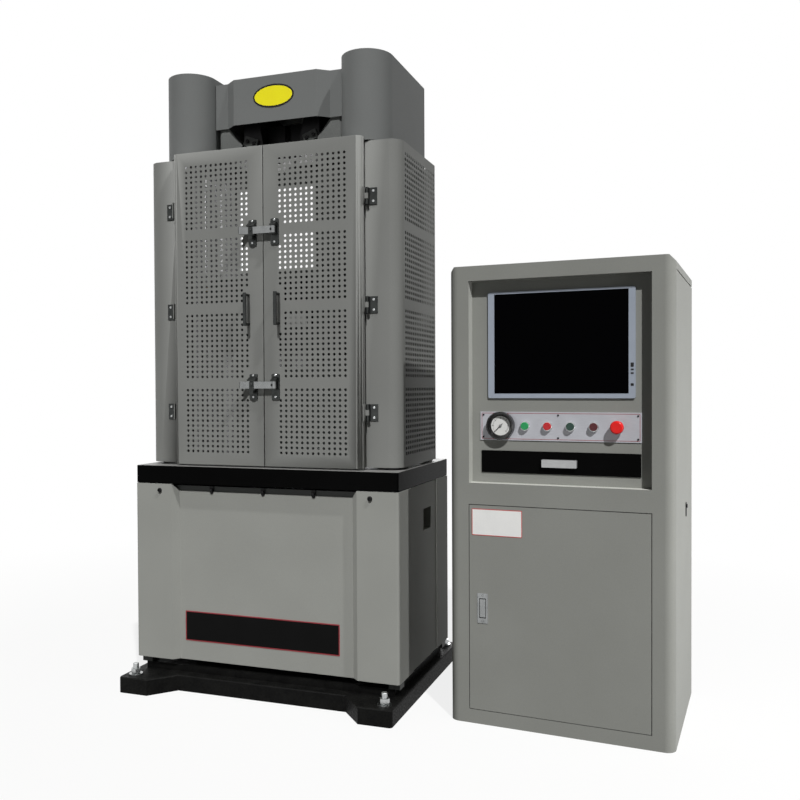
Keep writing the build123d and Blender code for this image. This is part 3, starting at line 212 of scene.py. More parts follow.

# %% [markdown]
# The worktable is sprayed black, and its top is painted grey, partly for wear and partly for the
# light and sheen that an upward face catches: painted light. The pan in the console's recess has
# the console's own coat, and its lower and left walls, which face the light, are painted much
# paler than its back: painted light. A second material on some faces would need the solid's
# mesh to change, so the colour follows the way a face looks: the dot product of its normal and a
# direction tells how far it looks that way.

# %% Faces painted paler, for light and wear
def paler_towards(material, way, shares, wear_and_lit_colour):
    """Paints light and wear: a paler colour as faces look one way, from one share to another."""
    tree = material.node_tree
    shader = tree.nodes["Principled BSDF"]
    paint_colour = shader.inputs["Base Color"].links[0].from_socket
    look = {0: add(tree, "NewGeometry").outputs["Normal"], 1: way}
    along = add(tree, "VectorMath", look, operation="DOT_PRODUCT").outputs["Value"]
    wear_and_light_share = add(tree, "MapRange", {"Value": along, "From Min": shares[0], "From Max": shares[1]})
    ends = {0: wear_and_light_share.outputs[0], COLOUR_A: paint_colour, COLOUR_B: linear(wear_and_lit_colour)}
    paint = add(tree, "Mix", ends, data_type="RGBA")
    tree.links.new(paint.outputs[COLOUR_OUT], shader.inputs["Base Color"])


UPWARDS = (0, 0, 1)
UP_AND_RIGHT = (0.6, 0, 0.8)

black_enamel = surface(
    "sprayed_enamel_black", "#080808", "#040404", 150, 4, (0.26, 0.34), 0.06, specular=0.015
)
# Painted light and wear: the top is paler grey, partly worn and partly for the light it catches.
paler_towards(black_enamel, UPWARDS, (0.85, 0.95), "#7a7a78")
dress(black_enamel, "worktable")
pan_coat = surface("powder_coat_pan_grey", *CONSOLE_GREYS, **SHEET, specular=0.12)
# Painted light: the pan's lower and left walls, which face the light, are painted much paler.
paler_towards(pan_coat, UP_AND_RIGHT, (0.5, 0.75), "#d6d7d0")
dress(pan_coat, "recess_pan")

# %% [markdown]
# Columns, screws and platens are bare ground steel, kept bright with a film of oil. Grinding
# leaves fine rings round a shaft, so the grain is stretched across the axis. Fittings are zinc
# plated, bright or passivated to a dull grey, and the jaws and their liners are hardened and
# blackened.

# %% Bare and plated steel
ROUND_A_SHAFT = (0.2, 0.2, 3)

ground_steel = surface(
    "ground_steel", "#c4c5c6", "#b4b5b7", 80, 2, (0.18, 0.30), 0.02, ROUND_A_SHAFT, metallic=1.0
)
dress(ground_steel, "columns", "lead_screw_left", "lead_screw_right", "piston")
dress(ground_steel, "lower_platen", "upper_platen")
black_oxide = surface(
    "black_oxide_steel", "#171718", "#0f0f10", 30, 2, (0.34, 0.48), 0.05, specular=0.12
)
dress(black_oxide, "upper_jaw_left", "upper_jaw_right", "lower_jaw_left", "lower_jaw_right")
dress(black_oxide, "upper_liners", "lower_liners")
bright_zinc = surface(
    "bright_zinc_screws", "#c2c4c4", "#a9abab", 18, 1.5, (0.18, 0.30), 0.02, metallic=1.0
)
dress(bright_zinc, "anchor_studs", "button_bezels")
zinc_plate = surface(
    "zinc_plated_steel", "#8f9191", "#7b7d7d", 18, 1.5, (0.22, 0.36), 0.03, metallic=1.0
)
dress(zinc_plate, "latch_bar_upper", "latch_bar_lower", "latch_plate", "latch_paddle")
dull_zinc = surface(
    "passivated_zinc", "#3f4140", "#2e302f", 18, 1.5, (0.26, 0.40), 0.03, metallic=0.8, specular=0.3
)
dress(dull_zinc, "door_fittings_left", "door_fittings_right", "hinge_leaves")
nut_bronze = surface("cast_bronze", "#b58a4c", "#a1773b", 30, 2, (0.25, 0.4), 0.04, metallic=1.0)
dress(nut_bronze, "lead_nuts")

# %% [markdown]
# The console's small parts: a brushed and anodised panel strip, a monitor in silver lacquer over
# ABS, its glass, and a gauge case of lacquered brass. Brushing runs left to right in hair lines
# about 0.3 mm apart, drawn wider so that they show.

# %% Console finishes
LEFT_TO_RIGHT = (0.06, 1, 1)

strip_anodised = surface(
    "anodised_aluminium", "#bcbdc3", "#b2b3b9", 60, 2, (0.34, 0.46), 0.01, LEFT_TO_RIGHT,
    metallic=0.1, specular=0.3
)
dress(strip_anodised, "control_strip")
pull_anodised = surface(
    "anodised_pull", "#a6a7a7", "#9a9b9b", 30, 2, (0.30, 0.42), 0.01, LEFT_TO_RIGHT, metallic=0.5
)
dress(pull_anodised, "drawer_pull")
silver_abs = surface(
    "silver_lacquered_abs", "#9fa7b3", "#969eaa", 50, 1.5, (0.34, 0.44), 0.01,
    metallic=0.15, specular=0.3
)
dress(silver_abs, "monitor")
screen_glass = surface(
    "screen_glass", "#040405", "#030304", 200, 2, (0.16, 0.2), 0.0, specular=0.005
)
dress(screen_glass, "monitor_screen")
gauge_black = surface(
    "black_lacquered_brass", "#161617", "#0f0f10", 20, 2, (0.14, 0.22), 0.01, specular=0.3
)
dress(gauge_black, "gauge_case", "gauge_needle")

# %% [markdown]
# The push-buttons are moulded in coloured plastic, which takes a fine polish from the mould. The
# oil tank and the pump motor inside the console are brushed with grey enamel.

# %% Buttons, tank and motor
for button_node, light_tone, dark_tone in (
    ("start_button", "#1f9e5a", "#198f4f"),
    ("stop_button", "#c8262c", "#b71f25"),
    ("load_button", "#24443a", "#1e3a31"),
    ("unload_button", "#571d22", "#4a171c"),
    ("estop_button", "#ee1c18", "#df1511"),
):
    moulded = surface(
        "moulded_" + button_node, light_tone, dark_tone, 12, 1, (0.24, 0.34), 0.01, specular=0.3
    )
    dress(moulded, button_node)
motor_enamel = surface("grey_enamel", "#7f8688", "#757c7e", 60, 2, (0.3, 0.4), 0.05)
dress(motor_enamel, "oil_tank", "pump_motor")

# %% [markdown]
# Pieces that the solids leave out are made as meshes. A screw or a ring is lathe work, so one
# helper turns a profile about an axis. A place is a matrix whose Z looks out of the surface that
# carries the piece, and one function puts each mesh on its body.

# %% Helpers for shapes
FRONT = (0, -1, 0)
BACK = (0, 1, 0)
RIGHT = (1, 0, 0)
SHARP_FROM = math.radians(35)


def facing(point, direction):
    """A place at a point in mm whose local Z looks along a direction."""
    turn = Vector(direction).to_track_quat("Z", "Y").to_matrix().to_4x4()
    return Matrix.Translation(Vector(point) * MM) @ turn


def moved(place, x=0, y=0, z=0):
    """A place shifted by millimetres along its own axes."""
    return place @ Matrix.Translation(Vector((x, y, z)) * MM)


def turned(bm, profile, place, steps):
    """Lathe work: (radius, height) points in mm turned about the local Z axis of a place."""
    rings = []
    for radius, height in profile:
        count = steps if radius else 1
        ring = []
        for i in range(count):
            a = 2 * math.pi * i / count
            point = Vector((radius * math.cos(a), radius * math.sin(a), height))
            ring.append(bm.verts.new(place @ (point * MM)))
        rings.append(ring)
    for low, high in zip(rings, rings[1:]):
        for i in range(steps):
            j = (i + 1) % steps
            corners = [low[i % len(low)], low[j % len(low)]]
            corners += [high[j % len(high)], high[i % len(high)]]
            corners = list(dict.fromkeys(corners))
            if len(corners) > 2:
                bm.faces.new(corners)


def piece(name, bm, material, body, slot, *stands_for):
    """Finishes a mesh as an object that rides on a body."""
    bmesh.ops.recalc_face_normals(bm, faces=bm.faces)
    mesh = bpy.data.meshes.new(name)
    bm.to_mesh(mesh)
    bm.free()
    for face in mesh.polygons:
        face.use_smooth = True
    mesh.set_sharp_from_angle(angle=SHARP_FROM)
    mesh.materials.append(material)
    made = bpy.data.objects.new(name, mesh)
    bpy.context.scene.collection.objects.link(made)
    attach(made, body)
    if stands_for:
        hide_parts(*stands_for)
    print(name, len(mesh.polygons), "faces on", body)


# %% [markdown]
# The doors and side panels are punched with blocks of holes, 10 mm on the doors and 13 mm on the
# sides. A texture with holes in its alpha would be lighter, but a real hole shows the sheet's edge
# and what stands behind it, so each panel is a copy of its solid with the punches cut through it.
# The holes beside the handles and latches are left out, as the punch would have met the fittings.

# %% Punched sheets
DOOR_HOLE_R = 4.9
SIDE_HOLE_R = 6.4
HOLE_SIDES = 10
PUNCH_REACH = 4
FOLD_R = 1.2
SHORTEST_FOLD = 300
FOLD_ANGLE = 1.2  # radians
ROW_PITCH = 18.0
ROWS = 13
COLUMN_PITCH = 20.0
BLOCK_TOPS = (1850.0, 1587.0, 1324.0, 1061.0)
LATCH_Z = (1078.0, 1609.0)
LATCH_CLEAR = 50
HANDLE_Z = (1281.0, 1396.0)
HANDLE_CLEAR = 16
row_heights = [top - ROW_PITCH * i for top in BLOCK_TOPS for i in range(ROWS)]


def by_a_fitting(z):
    """True where a handle or a latch bracket takes the place of the innermost hole."""
    near_latch = any(abs(z - latch) < LATCH_CLEAR for latch in LATCH_Z)
    return near_latch or HANDLE_Z[0] - HANDLE_CLEAR < z < HANDLE_Z[1] + HANDLE_CLEAR


def mesh_object(name, bm):
    """A mesh that is needed only while a sheet is cut, as an object in the scene."""
    mesh = bpy.data.meshes.new(name)
    bm.to_mesh(mesh)
    bm.free()
    made = bpy.data.objects.new(name, mesh)
    bpy.context.scene.collection.objects.link(made)
    return made


def punched(name, node, body, holes, radius, direction):
    """A copy of a sheet with its front folds rounded and holes punched along a direction."""
    sheet = bmesh.new()
    sheet.from_mesh(nodes[node].data)
    bmesh.ops.remove_doubles(sheet, verts=sheet.verts, dist=1e-6)
    front = min(v.co.y for v in sheet.verts) + 1e-5
    long_edges = [e for e in sheet.edges if e.calc_length() > SHORTEST_FOLD * MM]
    folds = [e for e in long_edges if max(v.co.y for v in e.verts) < front]
    folds = [e for e in folds if e.is_manifold and e.calc_face_angle() > FOLD_ANGLE]
    bmesh.ops.bevel(
        sheet, geom=folds, offset=FOLD_R * MM, segments=2, profile=0.5, affect="EDGES"
    )
    punch = bmesh.new()
    rod = [(0, -PUNCH_REACH), (radius, -PUNCH_REACH), (radius, PUNCH_REACH), (0, PUNCH_REACH)]
    for point in holes:
        turned(punch, rod, facing(point, direction), HOLE_SIDES)
    bmesh.ops.recalc_face_normals(punch, faces=punch.faces)
    blank = mesh_object("blank", sheet)
    tool = mesh_object("punch", punch)
    cut = blank.modifiers.new("punch", "BOOLEAN")
    cut.operation = "DIFFERENCE"
    cut.object = tool
    cut.solver = "MANIFOLD"
    result = blank.evaluated_get(bpy.context.evaluated_depsgraph_get())
    holed = bmesh.new()
    holed.from_mesh(result.to_mesh())
    bpy.data.objects.remove(blank)
    bpy.data.objects.remove(tool)
    piece(name, holed, grey_coat, body, "grey_paint", node)


# %% [markdown]
# Each door has thirteen columns of holes and each side seventeen, the same on the left and on the
# right. A loop over the two sides keeps them alike.

# %% Doors and side panels
DOOR_Y = -251.0
SIDE_X = 485.75
INNERMOST = 64.0
door_columns = [INNERMOST + COLUMN_PITCH * i for i in range(13)]
side_columns = [COLUMN_PITCH * i for i in range(-8, 9)]

for side, word in ((-1, "left"), (1, "right")):
    spots = [(x, z) for z in row_heights for x in door_columns]
    spots = [(x, z) for x, z in spots if x > INNERMOST or not by_a_fitting(z)]
    door_holes = [(side * x, DOOR_Y, z) for x, z in spots]
    punched(word + "_door_sheet", "door_" + word, word + "_door", door_holes, DOOR_HOLE_R, BACK)
    side_holes = [(side * SIDE_X, y, z) for z in row_heights for y in side_columns]
    punched(word + "_side_sheet", "side_panel_" + word, "frame", side_holes, SIDE_HOLE_R, RIGHT)

# %% [markdown]
# The lead screws carry a trapezoidal thread of 12 mm pitch. Blender has a Screw modifier that
# could wind a profile, but a strip of points laid along the helix joins each turn to the next with
# no gap to weld. A collar below and a plain end above are turned.

# %% Lead screws
PITCH_MM = 12.0
THREAD = ((0.0, 23.8), (4.4, 23.8), (6.0, 30.0), (10.4, 30.0))
TURN_STEPS = 20
SCREW_ENDS = (212.0, 2119.0)
SCREW_X = 344.0
SHAFT_SIDES = 32
COLLAR = ((0, 91), (25, 91), (25, 195), (40, 195), (40, 209), (26, 209), (26, 222), (0, 222))
PLAIN_END = ((0, 2104), (24.5, 2104), (24.5, 2118), (22.5, 2120), (0, 2120))
turns = (SCREW_ENDS[1] - SCREW_ENDS[0] - PITCH_MM) / PITCH_MM

for side, word in ((-1, "left"), (1, "right")):
    bm = bmesh.new()
    axis = Matrix.Translation((side * SCREW_X * MM, 0, 0))
    strip = []
    for k in range(int(turns * TURN_STEPS)):
        a = 2 * math.pi * k / TURN_STEPS
        z = SCREW_ENDS[0] + PITCH_MM * k / TURN_STEPS
        points = [Vector((r * math.cos(a), r * math.sin(a), z + rise)) for rise, r in THREAD]
        strip.append([bm.verts.new(axis @ (point * MM)) for point in points])
    for here, beside in zip(strip, strip[1:]):
        for i in range(len(THREAD) - 1):
            bm.faces.new((here[i], beside[i], beside[i + 1], here[i + 1]))
    for k in range(len(strip) - TURN_STEPS - 1):
        low, low_beside = strip[k][-1], strip[k + 1][-1]
        bm.faces.new((low, low_beside, strip[k + TURN_STEPS + 1][0], strip[k + TURN_STEPS][0]))
    turned(bm, COLLAR, axis, SHAFT_SIDES)
    turned(bm, PLAIN_END, axis, SHAFT_SIDES)
    piece(word + "_lead_screw", bm, ground_steel, "screw_" + word, "steel", "lead_screw_" + word)

# %% [markdown]
# Labels, clips and keepers are cut from flat stock, so a helper thickens an outline, with or
# without a hole in it. A bordered plate is two of these, a ring and the face inside it, because a
# printed border has a clean edge that a texture would blur.

# %% Helpers for plates
BORDER_MM = 0.8
FACE_MM = 0.7
OVAL_SIDES = 64


def plate(bm, outline, thick, place, hole=None):
    """An outline of (x, y) points in mm thickened along the local Z of a place, maybe holed."""
    loops = []
    for height in (0, thick):
        for points in (outline, hole or []):
            loops.append([bm.verts.new(place @ (Vector((x, y, height)) * MM)) for x, y in points])
    floor_loop, floor_hole, top_loop, top_hole = loops
    count = len(outline)
    for i in range(count):
        j = (i + 1) % count
        bm.faces.new((floor_loop[i], floor_loop[j], top_loop[j], top_loop[i]))
        if hole:
            bm.faces.new((floor_hole[j], floor_hole[i], top_hole[i], top_hole[j]))
            bm.faces.new((top_loop[i], top_loop[j], top_hole[j], top_hole[i]))
            bm.faces.new((floor_loop[j], floor_loop[i], floor_hole[i], floor_hole[j]))
    if not hole:
        bm.faces.new(top_loop)
        bm.faces.new(floor_loop[::-1])


def oblong(half_x, half_y, corner, steps=6):
    """A rectangle with round corners, or an oval where the corner is None."""
    if corner is None:
        turn = [2 * math.pi * i / OVAL_SIDES for i in range(OVAL_SIDES)]
        return [(half_x * math.cos(a), half_y * math.sin(a)) for a in turn]
    points = []
    for quarter, (sx, sy) in enumerate(((1, 1), (-1, 1), (-1, -1), (1, -1))):
        for i in range(steps + 1):
            a = math.pi / 2 * (quarter + i / steps)
            x = sx * (half_x - corner) + corner * math.cos(a)
            points.append((x, sy * (half_y - corner) + corner * math.sin(a)))
    return points


def bordered(name, half_x, half_y, corner, rim, place, face, edge, body, slot):
    """A printed plate: a coloured border and a blank face inside it."""
    bm = bmesh.new()
    inner = oblong(half_x - rim, half_y - rim, corner and max(corner - rim, 0.2))
    plate(bm, oblong(half_x, half_y, corner), BORDER_MM, place, inner)
    piece(name + "_border", bm, edge, body, slot)
    bm = bmesh.new()
    plate(bm, inner, FACE_MM, place)
    piece(name + "_face", bm, face, body, slot)


# %% [markdown]
# The plates and labels are screen-printed film or thin aluminium, with a soft gloss. Here they are
# blank: a yellow oval on the hood, a long black plate on the base, and a small white one on the
# console's door. The console stands turned by four degrees, so its pieces have a place of their
# own.

# %% Blank plates
CONSOLE = Matrix.Translation((0.662, -0.252, 0)) @ Matrix.Rotation(math.radians(-4), 4, "Z")

yellow_film = surface("printed_film_yellow", "#fff500", "#fbee00", 40, 2, (0.34, 0.42), 0.01)
black_film = surface(
    "printed_film_black", "#17130f", "#120f0d", 60, 2, (0.36, 0.46), 0.01, specular=0.2
)
red_print = surface("screen_print_red", "#8e1f2a", "#821a24", 60, 2, (0.40, 0.5), 0.01)
plate_black = surface(
    "printed_aluminium_black", "#0d0d0d", "#090909", 90, 2, (0.34, 0.44), 0.01, specular=0.05
)
white_film = surface("printed_film_white", "#f4f4f1", "#ececea", 40, 2, (0.36, 0.44), 0.01)
bright_red = surface("screen_print_bright_red", "#c23a3a", "#b33232", 40, 2, (0.40, 0.5), 0.01)

on_hood = facing((-3, -163, 2099), FRONT)
bordered("hood_oval", 80, 41, None, 6, on_hood, yellow_film, black_film, "frame", "grey_paint")
on_base = facing((-14, -265, 223), FRONT)
bordered(
    "base_plate_blank", 298, 53, 2, 3.6, on_base, plate_black, red_print, "base", "black_paint"
)
on_door = CONSOLE @ facing((157.5, 0, 642), FRONT)
bordered(
    "door_plate", 81.5, 42, 2, 2.2, on_door, white_film, bright_red, "cabinet_door", "grey_paint"
)

# %% [markdown]
# Socket screws hold the hinges and latch brackets. A set of one size is one mesh with many heads,
# each turned from the same profile, because a screw is too small to need an object of its own.

# %% Hinge and latch screws
SCREW_SIDES = 16
HINGE_Z = (984, 1344, 1705)
HINGE_SPOT = (394, -218.5)
HINGE_SCREW_DZ = (-17, 17)
BRACKET_Y = -256
BRACKET_SCREW_DZ = (-41, 33.5)


def screws(name, radius, places, material, body, slot):
    """Socket screws with round heads that stand on a surface."""
    r = radius
    head = [(0, 0.35 * r), (0.42 * r, 0.35 * r), (0.46 * r, 0.75 * r), (0.8 * r, 0.75 * r)]
    head += [(r, 0.5 * r), (r, -0.1 * r), (0, -0.1 * r)]
    bm = bmesh.new()
    for place in places:
        turned(bm, head, place, SCREW_SIDES)
    piece(name, bm, material, body, slot)


hinge_places = []
for side in (-1, 1):
    x, y = side * HINGE_SPOT[0], HINGE_SPOT[1]
    hinge_places += [facing((x, y, z + dz), FRONT) for z in HINGE_Z for dz in HINGE_SCREW_DZ]
screws("hinge_screws", 4.5, hinge_places, bright_zinc, "frame", "plated_steel")
for word, x in (("left", -39), ("right", 46)):
    spots = [(x, BRACKET_Y, z + dz) for z in LATCH_Z for dz in BRACKET_SCREW_DZ]
    bracket_places = [facing(spot, FRONT) for spot in spots]
    body = word + "_door"
    screws(word + "_latch_screws", 4.0, bracket_places, bright_zinc, body, "plated_steel")

# %% [markdown]
# Each latch bar turns about an upright pin on the right door. A hook plate on its free end laps
# over the left door's bracket, held by a rivet, and a second rivet shows near the pin. They are
# lathe work and a cut plate that ride on the bar.

# %% Latch rivets and hooks
LATCH_FACE_Y = -270.0
HOOK_X = -39
RIVET_X = 41
HOOK_DROP = 9
HOOK_MM = 3
HOOK_RIVET = ((0, 3), (4.6, 3), (4.6, 5), (3.4, 6), (0, 6))
SMALL_SIDES = 14

for z, word in zip(LATCH_Z, ("lower", "upper")):
    body = "latch_" + word
    rivet_place = facing((RIVET_X, LATCH_FACE_Y, z), FRONT)
    screws(word + "_latch_rivets", 5.0, [rivet_place], black_oxide, body, "plated_steel")
    bm = bmesh.new()
    hook_place = facing((HOOK_X, LATCH_FACE_Y, z), FRONT)
    plate(bm, oblong(7.5, 21, 3), HOOK_MM, moved(hook_place, y=-HOOK_DROP))
    turned(bm, HOOK_RIVET, hook_place, SMALL_SIDES)
    piece(word + "_latch_hook", bm, dull_zinc, body, "plated_steel")

# %% [markdown]
# Black knobs with a tongue hold the upper edge of the base's covers under the table, front and
# back, and a black screw stands at each upper corner. Each clip is a cut plate with a turned knob
# on it.

# %% Cover clips
COVER_Y = 265
CLIP_X = (-202, 0, 191)
CLIP_Z = 709
TONGUE = ((-7.5, 14), (7.5, 14), (7.5, -6), (5, -11), (0, -13.5), (-5, -11), (-7.5, -6))
TONGUE_MM = 2.5
KNOB = ((0, 2.5), (5.5, 2.5), (6, 4), (5.5, 8), (4, 9), (0, 9))
CORNER_SPOT = (402, 285, 705)

bm = bmesh.new()
for way in (-1, 1):
    for x in CLIP_X:
        place = facing((-way * x, way * COVER_Y, CLIP_Z), (0, way, 0))
        plate(bm, TONGUE, TONGUE_MM, place)
        turned(bm, KNOB, place, SMALL_SIDES)
piece("cover_clips", bm, black_oxide, "base", "black_paint")
x, y, z = CORNER_SPOT
corner_places = [facing((sx * x, sy * y, z), (0, sy, 0)) for sx in (-1, 1) for sy in (-1, 1)]
screws("corner_screws", 8.0, corner_places, black_oxide, "base", "black_paint")

# %% [markdown]
# In the mouth of each crosshead a keeper plate with two bolts holds the wedge liner from the
# front, and another holds it at the back. The plates lean with the slope of the wedge, the other
# way up in the lower crosshead.

# %% Liner keepers
KEEPER_SPOT = (118, 110)
KEEPER_LEAN = 20
KEEPER_MM = 10
KEEPER_BOLT_X = (-14, 14)

for word, body, z, lean in (("upper", "frame", 1957, 1), ("lower", "crosshead", 1413, -1)):
    bm = bmesh.new()
    heads = []
    for side in (-1, 1):
        for way in (-1, 1):
            spot = (side * KEEPER_SPOT[0], way * KEEPER_SPOT[1], z)
            tilt = Matrix.Rotation(math.radians(KEEPER_LEAN * side * lean * -way), 4, "Z")
            place = facing(spot, (0, way, 0)) @ tilt
            plate(bm, oblong(27, 17, 3), KEEPER_MM, place)
            heads += [moved(place, x=dx, z=KEEPER_MM) for dx in KEEPER_BOLT_X]
    piece(word + "_keepers", bm, dark_coat, body, "casting")
    screws(word + "_keeper_bolts", 7.0, heads, black_oxide, body, "jaw_steel")

# %% [markdown]
# The pressure gauge has a card printed with ticks over 270 degrees, every fifth one longer.
# Printed ticks are flat, but thin plates keep their edges sharp at any size. A nut holds the
# needle.

# %% Dial
DIAL_CARD = ((0, -0.1), (30.6, -0.1), (30.6, 0.5), (0, 0.5))
DIAL_NUT = ((0, 5.8), (2.0, 5.6), (2.8, 4.8), (2.8, 4.1), (0, 4.1))
CARD_MM = 0.5
INK_MM = 0.25
TICKS = 31
FIRST_TICK = 225
TICK_STEP = 9
TICK_R = 25
LONG_TICK = (3.6, 0.6)
SHORT_TICK = (2.2, 0.35)

dial_white = surface("printed_dial_white", "#e9e9e6", "#e0e0dd", 30, 2, (0.4, 0.5), 0.01)
dial_place = CONSOLE @ facing((163, 26, 946), FRONT)
bm = bmesh.new()
turned(bm, DIAL_CARD, dial_place, 48)
piece("dial_card", bm, dial_white, "base", "anodised")
bm = bmesh.new()
for i in range(TICKS):
    half_x, half_y = SHORT_TICK if i % 5 else LONG_TICK
    spoke = dial_place @ Matrix.Rotation(math.radians(FIRST_TICK - TICK_STEP * i), 4, "Z")
    plate(bm, oblong(half_x, half_y, 0.2, 1), INK_MM, moved(spoke, x=TICK_R, z=CARD_MM))
piece("dial_ticks", bm, black_film, "base", "black_plastic")
bm = bmesh.new()
turned(bm, DIAL_NUT, dial_place, 16)
piece("dial_nut", bm, zinc_plate, "base", "plated_steel")

# %% [markdown]
# A thin printed line runs round the panel strip, which six small screws hold. The monitor has four
# touch keys on its right edge, and two screws hold the latch plate in the console's door.

# %% Strip line and keys
STRIP_SCREW_X = (-240, 0, 240)
STRIP_SCREW_Y = (-35, 35)
KEYS = ((1133, 6.5), (1119, 2.5), (1108, 2.5), (1074, 4.0))

strip_place = CONSOLE @ facing((344.5, 35, 945), FRONT)
bm = bmesh.new()
plate(bm, oblong(246, 41, 3), INK_MM, strip_place, oblong(244.6, 39.6, 1.6))
piece("strip_line", bm, red_print, "base", "anodised")
strip_places = [moved(strip_place, x, y) for x in STRIP_SCREW_X for y in STRIP_SCREW_Y]
screws("strip_screws", 3.0, strip_places, black_oxide, "base", "plated_steel")
bm = bmesh.new()
for z, half_height in KEYS:
    plate(bm, oblong(4.5, half_height, 2, 4), 0.8, CONSOLE @ facing((567.5, 32, z), FRONT))
piece("monitor_keys", bm, gauge_black, "base", "black_plastic")
latch_places = [CONSOLE @ facing((111, -2, z), FRONT) for z in (328.5, 410.5)]
screws("latch_plate_screws", 3.5, latch_places, zinc_plate, "cabinet_door", "plated_steel")

# %% [markdown]
# A small lock sits in the console's right side: a round-ended plate with a turned barrel. Plain
# screws close the console's back and hold the rear edges of the side panels.

# %% Side lock and rear screws
BARREL = ((0, 4), (1.5, 4), (2, 5.5), (6, 5.5), (6.6, 4.5), (6.6, 2), (0, 2))
BACK_SCREW_X = (20, 347, 674)
BACK_SCREW_Z = (30, 480, 930, 1390)
GUARD_SCREW_X = (14, 460)
GUARD_SCREW_Z = (830, 1150, 1500, 1881)

lock_place = CONSOLE @ facing((694, 326, 670), RIGHT)
bm = bmesh.new()
plate(bm, oblong(9, 23, 8), 2.5, lock_place)
turned(bm, BARREL, moved(lock_place, y=11), 18)
piece("side_lock", bm, black_oxide, "base", "black_plastic")
spots = [(x, 545, z) for x in BACK_SCREW_X for z in BACK_SCREW_Z]
back_places = [CONSOLE @ facing(spot, BACK) for spot in spots]
screws("console_back_screws", 4.0, back_places, zinc_plate, "base", "plated_steel")
spots = [(side * x, 216, z) for side in (-1, 1) for x in GUARD_SCREW_X for z in GUARD_SCREW_Z]
guard_places = [facing(spot, BACK) for spot in spots]
screws("guard_screws", 4.0, guard_places, zinc_plate, "frame", "plated_steel")

# %% [markdown]
# The cut upper edge of the rear panels wears a rubber edge trim, a moulded channel that is pressed
# over the sheet. Rubber is matt and nearly black, with a faint mould texture. A bar with rounded
# edges is enough for it, as its lips are out of sight.

# %% Rear edge trim
TRIM_LOW = Vector((-243, 211, 1926)) * MM
TRIM_HIGH = Vector((243, 219.5, 1951)) * MM
TRIM_EDGE = 2

trim_rubber = surface(
    "moulded_rubber", "#1a1a1a", "#121212", 25, 1.5, (0.55, 0.7), 0.03, specular=0.2
)
bm = bmesh.new()
middle = Matrix.Translation((TRIM_LOW + TRIM_HIGH) / 2)
size = Matrix.Diagonal((*(TRIM_HIGH - TRIM_LOW), 1.0))
bmesh.ops.create_cube(bm, size=1.0, matrix=middle @ size)
bmesh.ops.bevel(
    bm, geom=bm.edges[:], offset=TRIM_EDGE * MM, segments=2, profile=0.5, affect="EDGES"
)
piece("rear_edge_trim", bm, trim_rubber, "frame", "black_plastic")

# %% [markdown]
# The room is a white studio. To the camera and in reflections it is plain white, but it throws
# only a little light, so that the lamps shape the machine. Light Path tells the two apart. A
# bright world would be simpler, but it would wash out the greys.

# %% Room
ROOM_LIGHT = 0.035


def seen_directly(tree):
    """1 for the camera, reflections and refractions, 0 for the light that falls on things."""
    path = add(tree, "LightPath").outputs
    straight = {0: path["Is Camera Ray"], 1: path["Is Glossy Ray"]}
    first = add(tree, "Math", straight, operation="MAXIMUM").outputs[0]
    through = {0: first, 1: path["Is Transmission Ray"]}
    return add(tree, "Math", through, operation="MAXIMUM").outputs[0]


world = bpy.data.worlds.new("room")
world.use_nodes = True
bpy.context.scene.world = world
room = world.node_tree
room.nodes.clear()
lit = add(room, "Background", {"Color": linear("#ffffff"), "Strength": ROOM_LIGHT})
white = add(room, "Background", {"Color": linear("#ffffff"), "Strength": 1.0})
both = add(room, "MixShader", {0: seen_directly(room), 1: lit.outputs[0], 2: white.outputs[0]})
add(room, "OutputWorld", {"Surface": both.outputs[0]})
bpy.context.scene.view_settings.view_transform = "Standard"
print("room light", ROOM_LIGHT)

# %% [markdown]
# The floor is a pale matt sheet. Near the machine a part of it takes light and shadow, and further
# out it glows plain white, so no edge of it shows. What it throws back up is kept low by a darker
# tone for bounced rays, because a white floor would brighten everything that looks down.

# %% Floor
FLOOR_HALF = 9.0
FADE_FROM, FADE_TO = 1.3, 3.2
GLOW_NEAR = 0.84

floor_bm = bmesh.new()
bmesh.ops.create_grid(floor_bm, x_segments=1, y_segments=1, size=FLOOR_HALF)
floor_mesh = bpy.data.meshes.new("floor")
floor_bm.to_mesh(floor_mesh)
floor_bm.free()
floor = bpy.data.objects.new("floor", floor_mesh)
bpy.context.scene.collection.objects.link(floor)
pale = bpy.data.materials.new("pale_floor")
pale.use_nodes = True
tree = pale.node_tree
tree.nodes.clear()
point = add(tree, "NewGeometry").outputs["Position"]
away = add(tree, "VectorMath", {0: point}, operation="LENGTH").outputs["Value"]
spread = {"Value": away, "From Min": FADE_FROM, "From Max": FADE_TO}
fade = add(tree, "MapRange", {**spread, "To Min": GLOW_NEAR, "To Max": 1.0})
share = add(tree, "Math", {0: seen_directly(tree), 1: fade.outputs[0]}, operation="MULTIPLY")
bounced = add(tree, "LightPath").outputs["Is Diffuse Ray"]
ends = {0: bounced, COLOUR_A: linear("#f2f2f0"), COLOUR_B: linear("#565654")}
tint = add(tree, "Mix", ends, data_type="RGBA")
matt = add(tree, "BsdfDiffuse", {"Color": tint.outputs[COLOUR_OUT]})
glow = add(tree, "Emission", {"Color": linear("#ffffff"), "Strength": 1.0})
mixed = add(tree, "MixShader", {0: share.outputs[0], 1: matt.outputs[0], 2: glow.outputs[0]})
add(tree, "OutputMaterial", {"Surface": mixed.outputs[0]})
floor_mesh.materials.append(pale)
print("floor", 2 * FLOOR_HALF, "m wide")

# %% [markdown]
# Three firm lamps stand high up. One, on the right, throws the shadow of the console's frame into
# its recess. The other two light the load frame: one from the front, and one from the right, where
# the console shades the frame's flank. One lamp can't do both, so light linking gives each a group
# to shine on, and none of them spoils another's shadow.

# %% Groups for the lamps
CONSOLE_START = 0.58


def middle_x(thing):
    """Where the middle of an object stands, from left to right."""
    return sum((thing.matrix_world @ Vector(c)).x for c in thing.bound_box) / 8


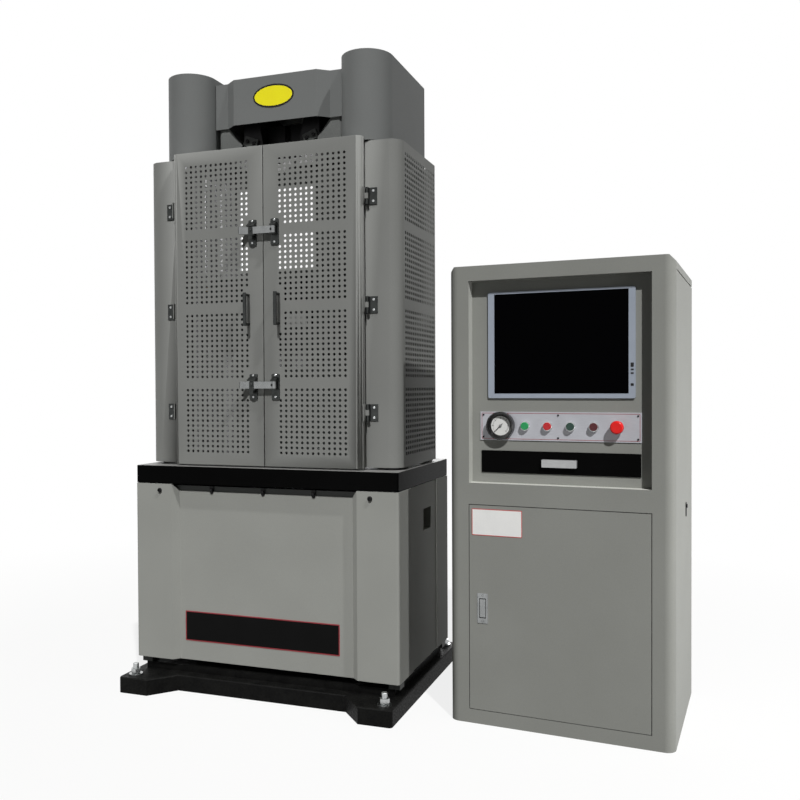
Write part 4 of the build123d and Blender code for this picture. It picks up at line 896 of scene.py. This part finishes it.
frame_group = bpy.data.collections.new("load_frame")
console_group = bpy.data.collections.new("console_and_floor")
machine_group = bpy.data.collections.new("all_but_floor")
for thing in bpy.context.scene.objects:
    if thing.type == "MESH":
        with_console = thing == floor or middle_x(thing) > CONSOLE_START
        (console_group if with_console else frame_group).objects.link(thing)
        if thing != floor:
            machine_group.objects.link(thing)

# %% [markdown]
# Besides the firm lamps there are three broad ones: low beside the console, low in front, where it
# fades towards the top, and behind, for the back. The one behind leaves the floor alone, so that
# no shadow falls towards the camera.

# %% Lamps
HIGH_RIGHT = (3000, -3600, 5600)
CONSOLE_KEY_FROM = (0.44, -0.57, 0.69)
FRAME_FRONT_FROM = (0.0, -0.58, 0.81)
FRAME_RIGHT_FROM = (0.52, -0.18, 0.82)
FIRM = math.radians(1.5)
SOFT = math.radians(3)


def lamp(name, kind, place, energy, lights_up=None, **settings):
    """A lamp that shines from a place along its local -Z, on everything or on one group only."""
    light = bpy.data.lights.new(name, kind)
    light.energy = energy
    for key, value in settings.items():
        setattr(light, key, value)
    hung = bpy.data.objects.new(name, light)
    hung.matrix_world = place
    hung.light_linking.receiver_collection = lights_up
    bpy.context.scene.collection.objects.link(hung)
    print("lamp", name, energy)
    return hung


lamp("console_key", "SUN", facing(HIGH_RIGHT, CONSOLE_KEY_FROM), 3.4, console_group, angle=FIRM)
lamp("frame_front_key", "SUN", facing(HIGH_RIGHT, FRAME_FRONT_FROM), 3.0, frame_group, angle=SOFT)
lamp("frame_right_key", "SUN", facing(HIGH_RIGHT, FRAME_RIGHT_FROM), 1.5, frame_group, angle=FIRM)
beside = facing((2700, -350, 720), (1, -0.05, 0))
lamp("side", "AREA", beside, 13.6, console_group, shape="RECTANGLE", size=1.6, size_y=0.8)
behind = facing((-1000, 3100, 1500), (-0.35, 1, 0.1))
rear = lamp("rear", "AREA", behind, 60, machine_group, size=2.4, specular_factor=0.2)
rear.visible_camera = False
before = facing((-200, -2600, 200), (-0.08, -1, -0.05))
lamp("front", "AREA", before, 6, size=1.4)
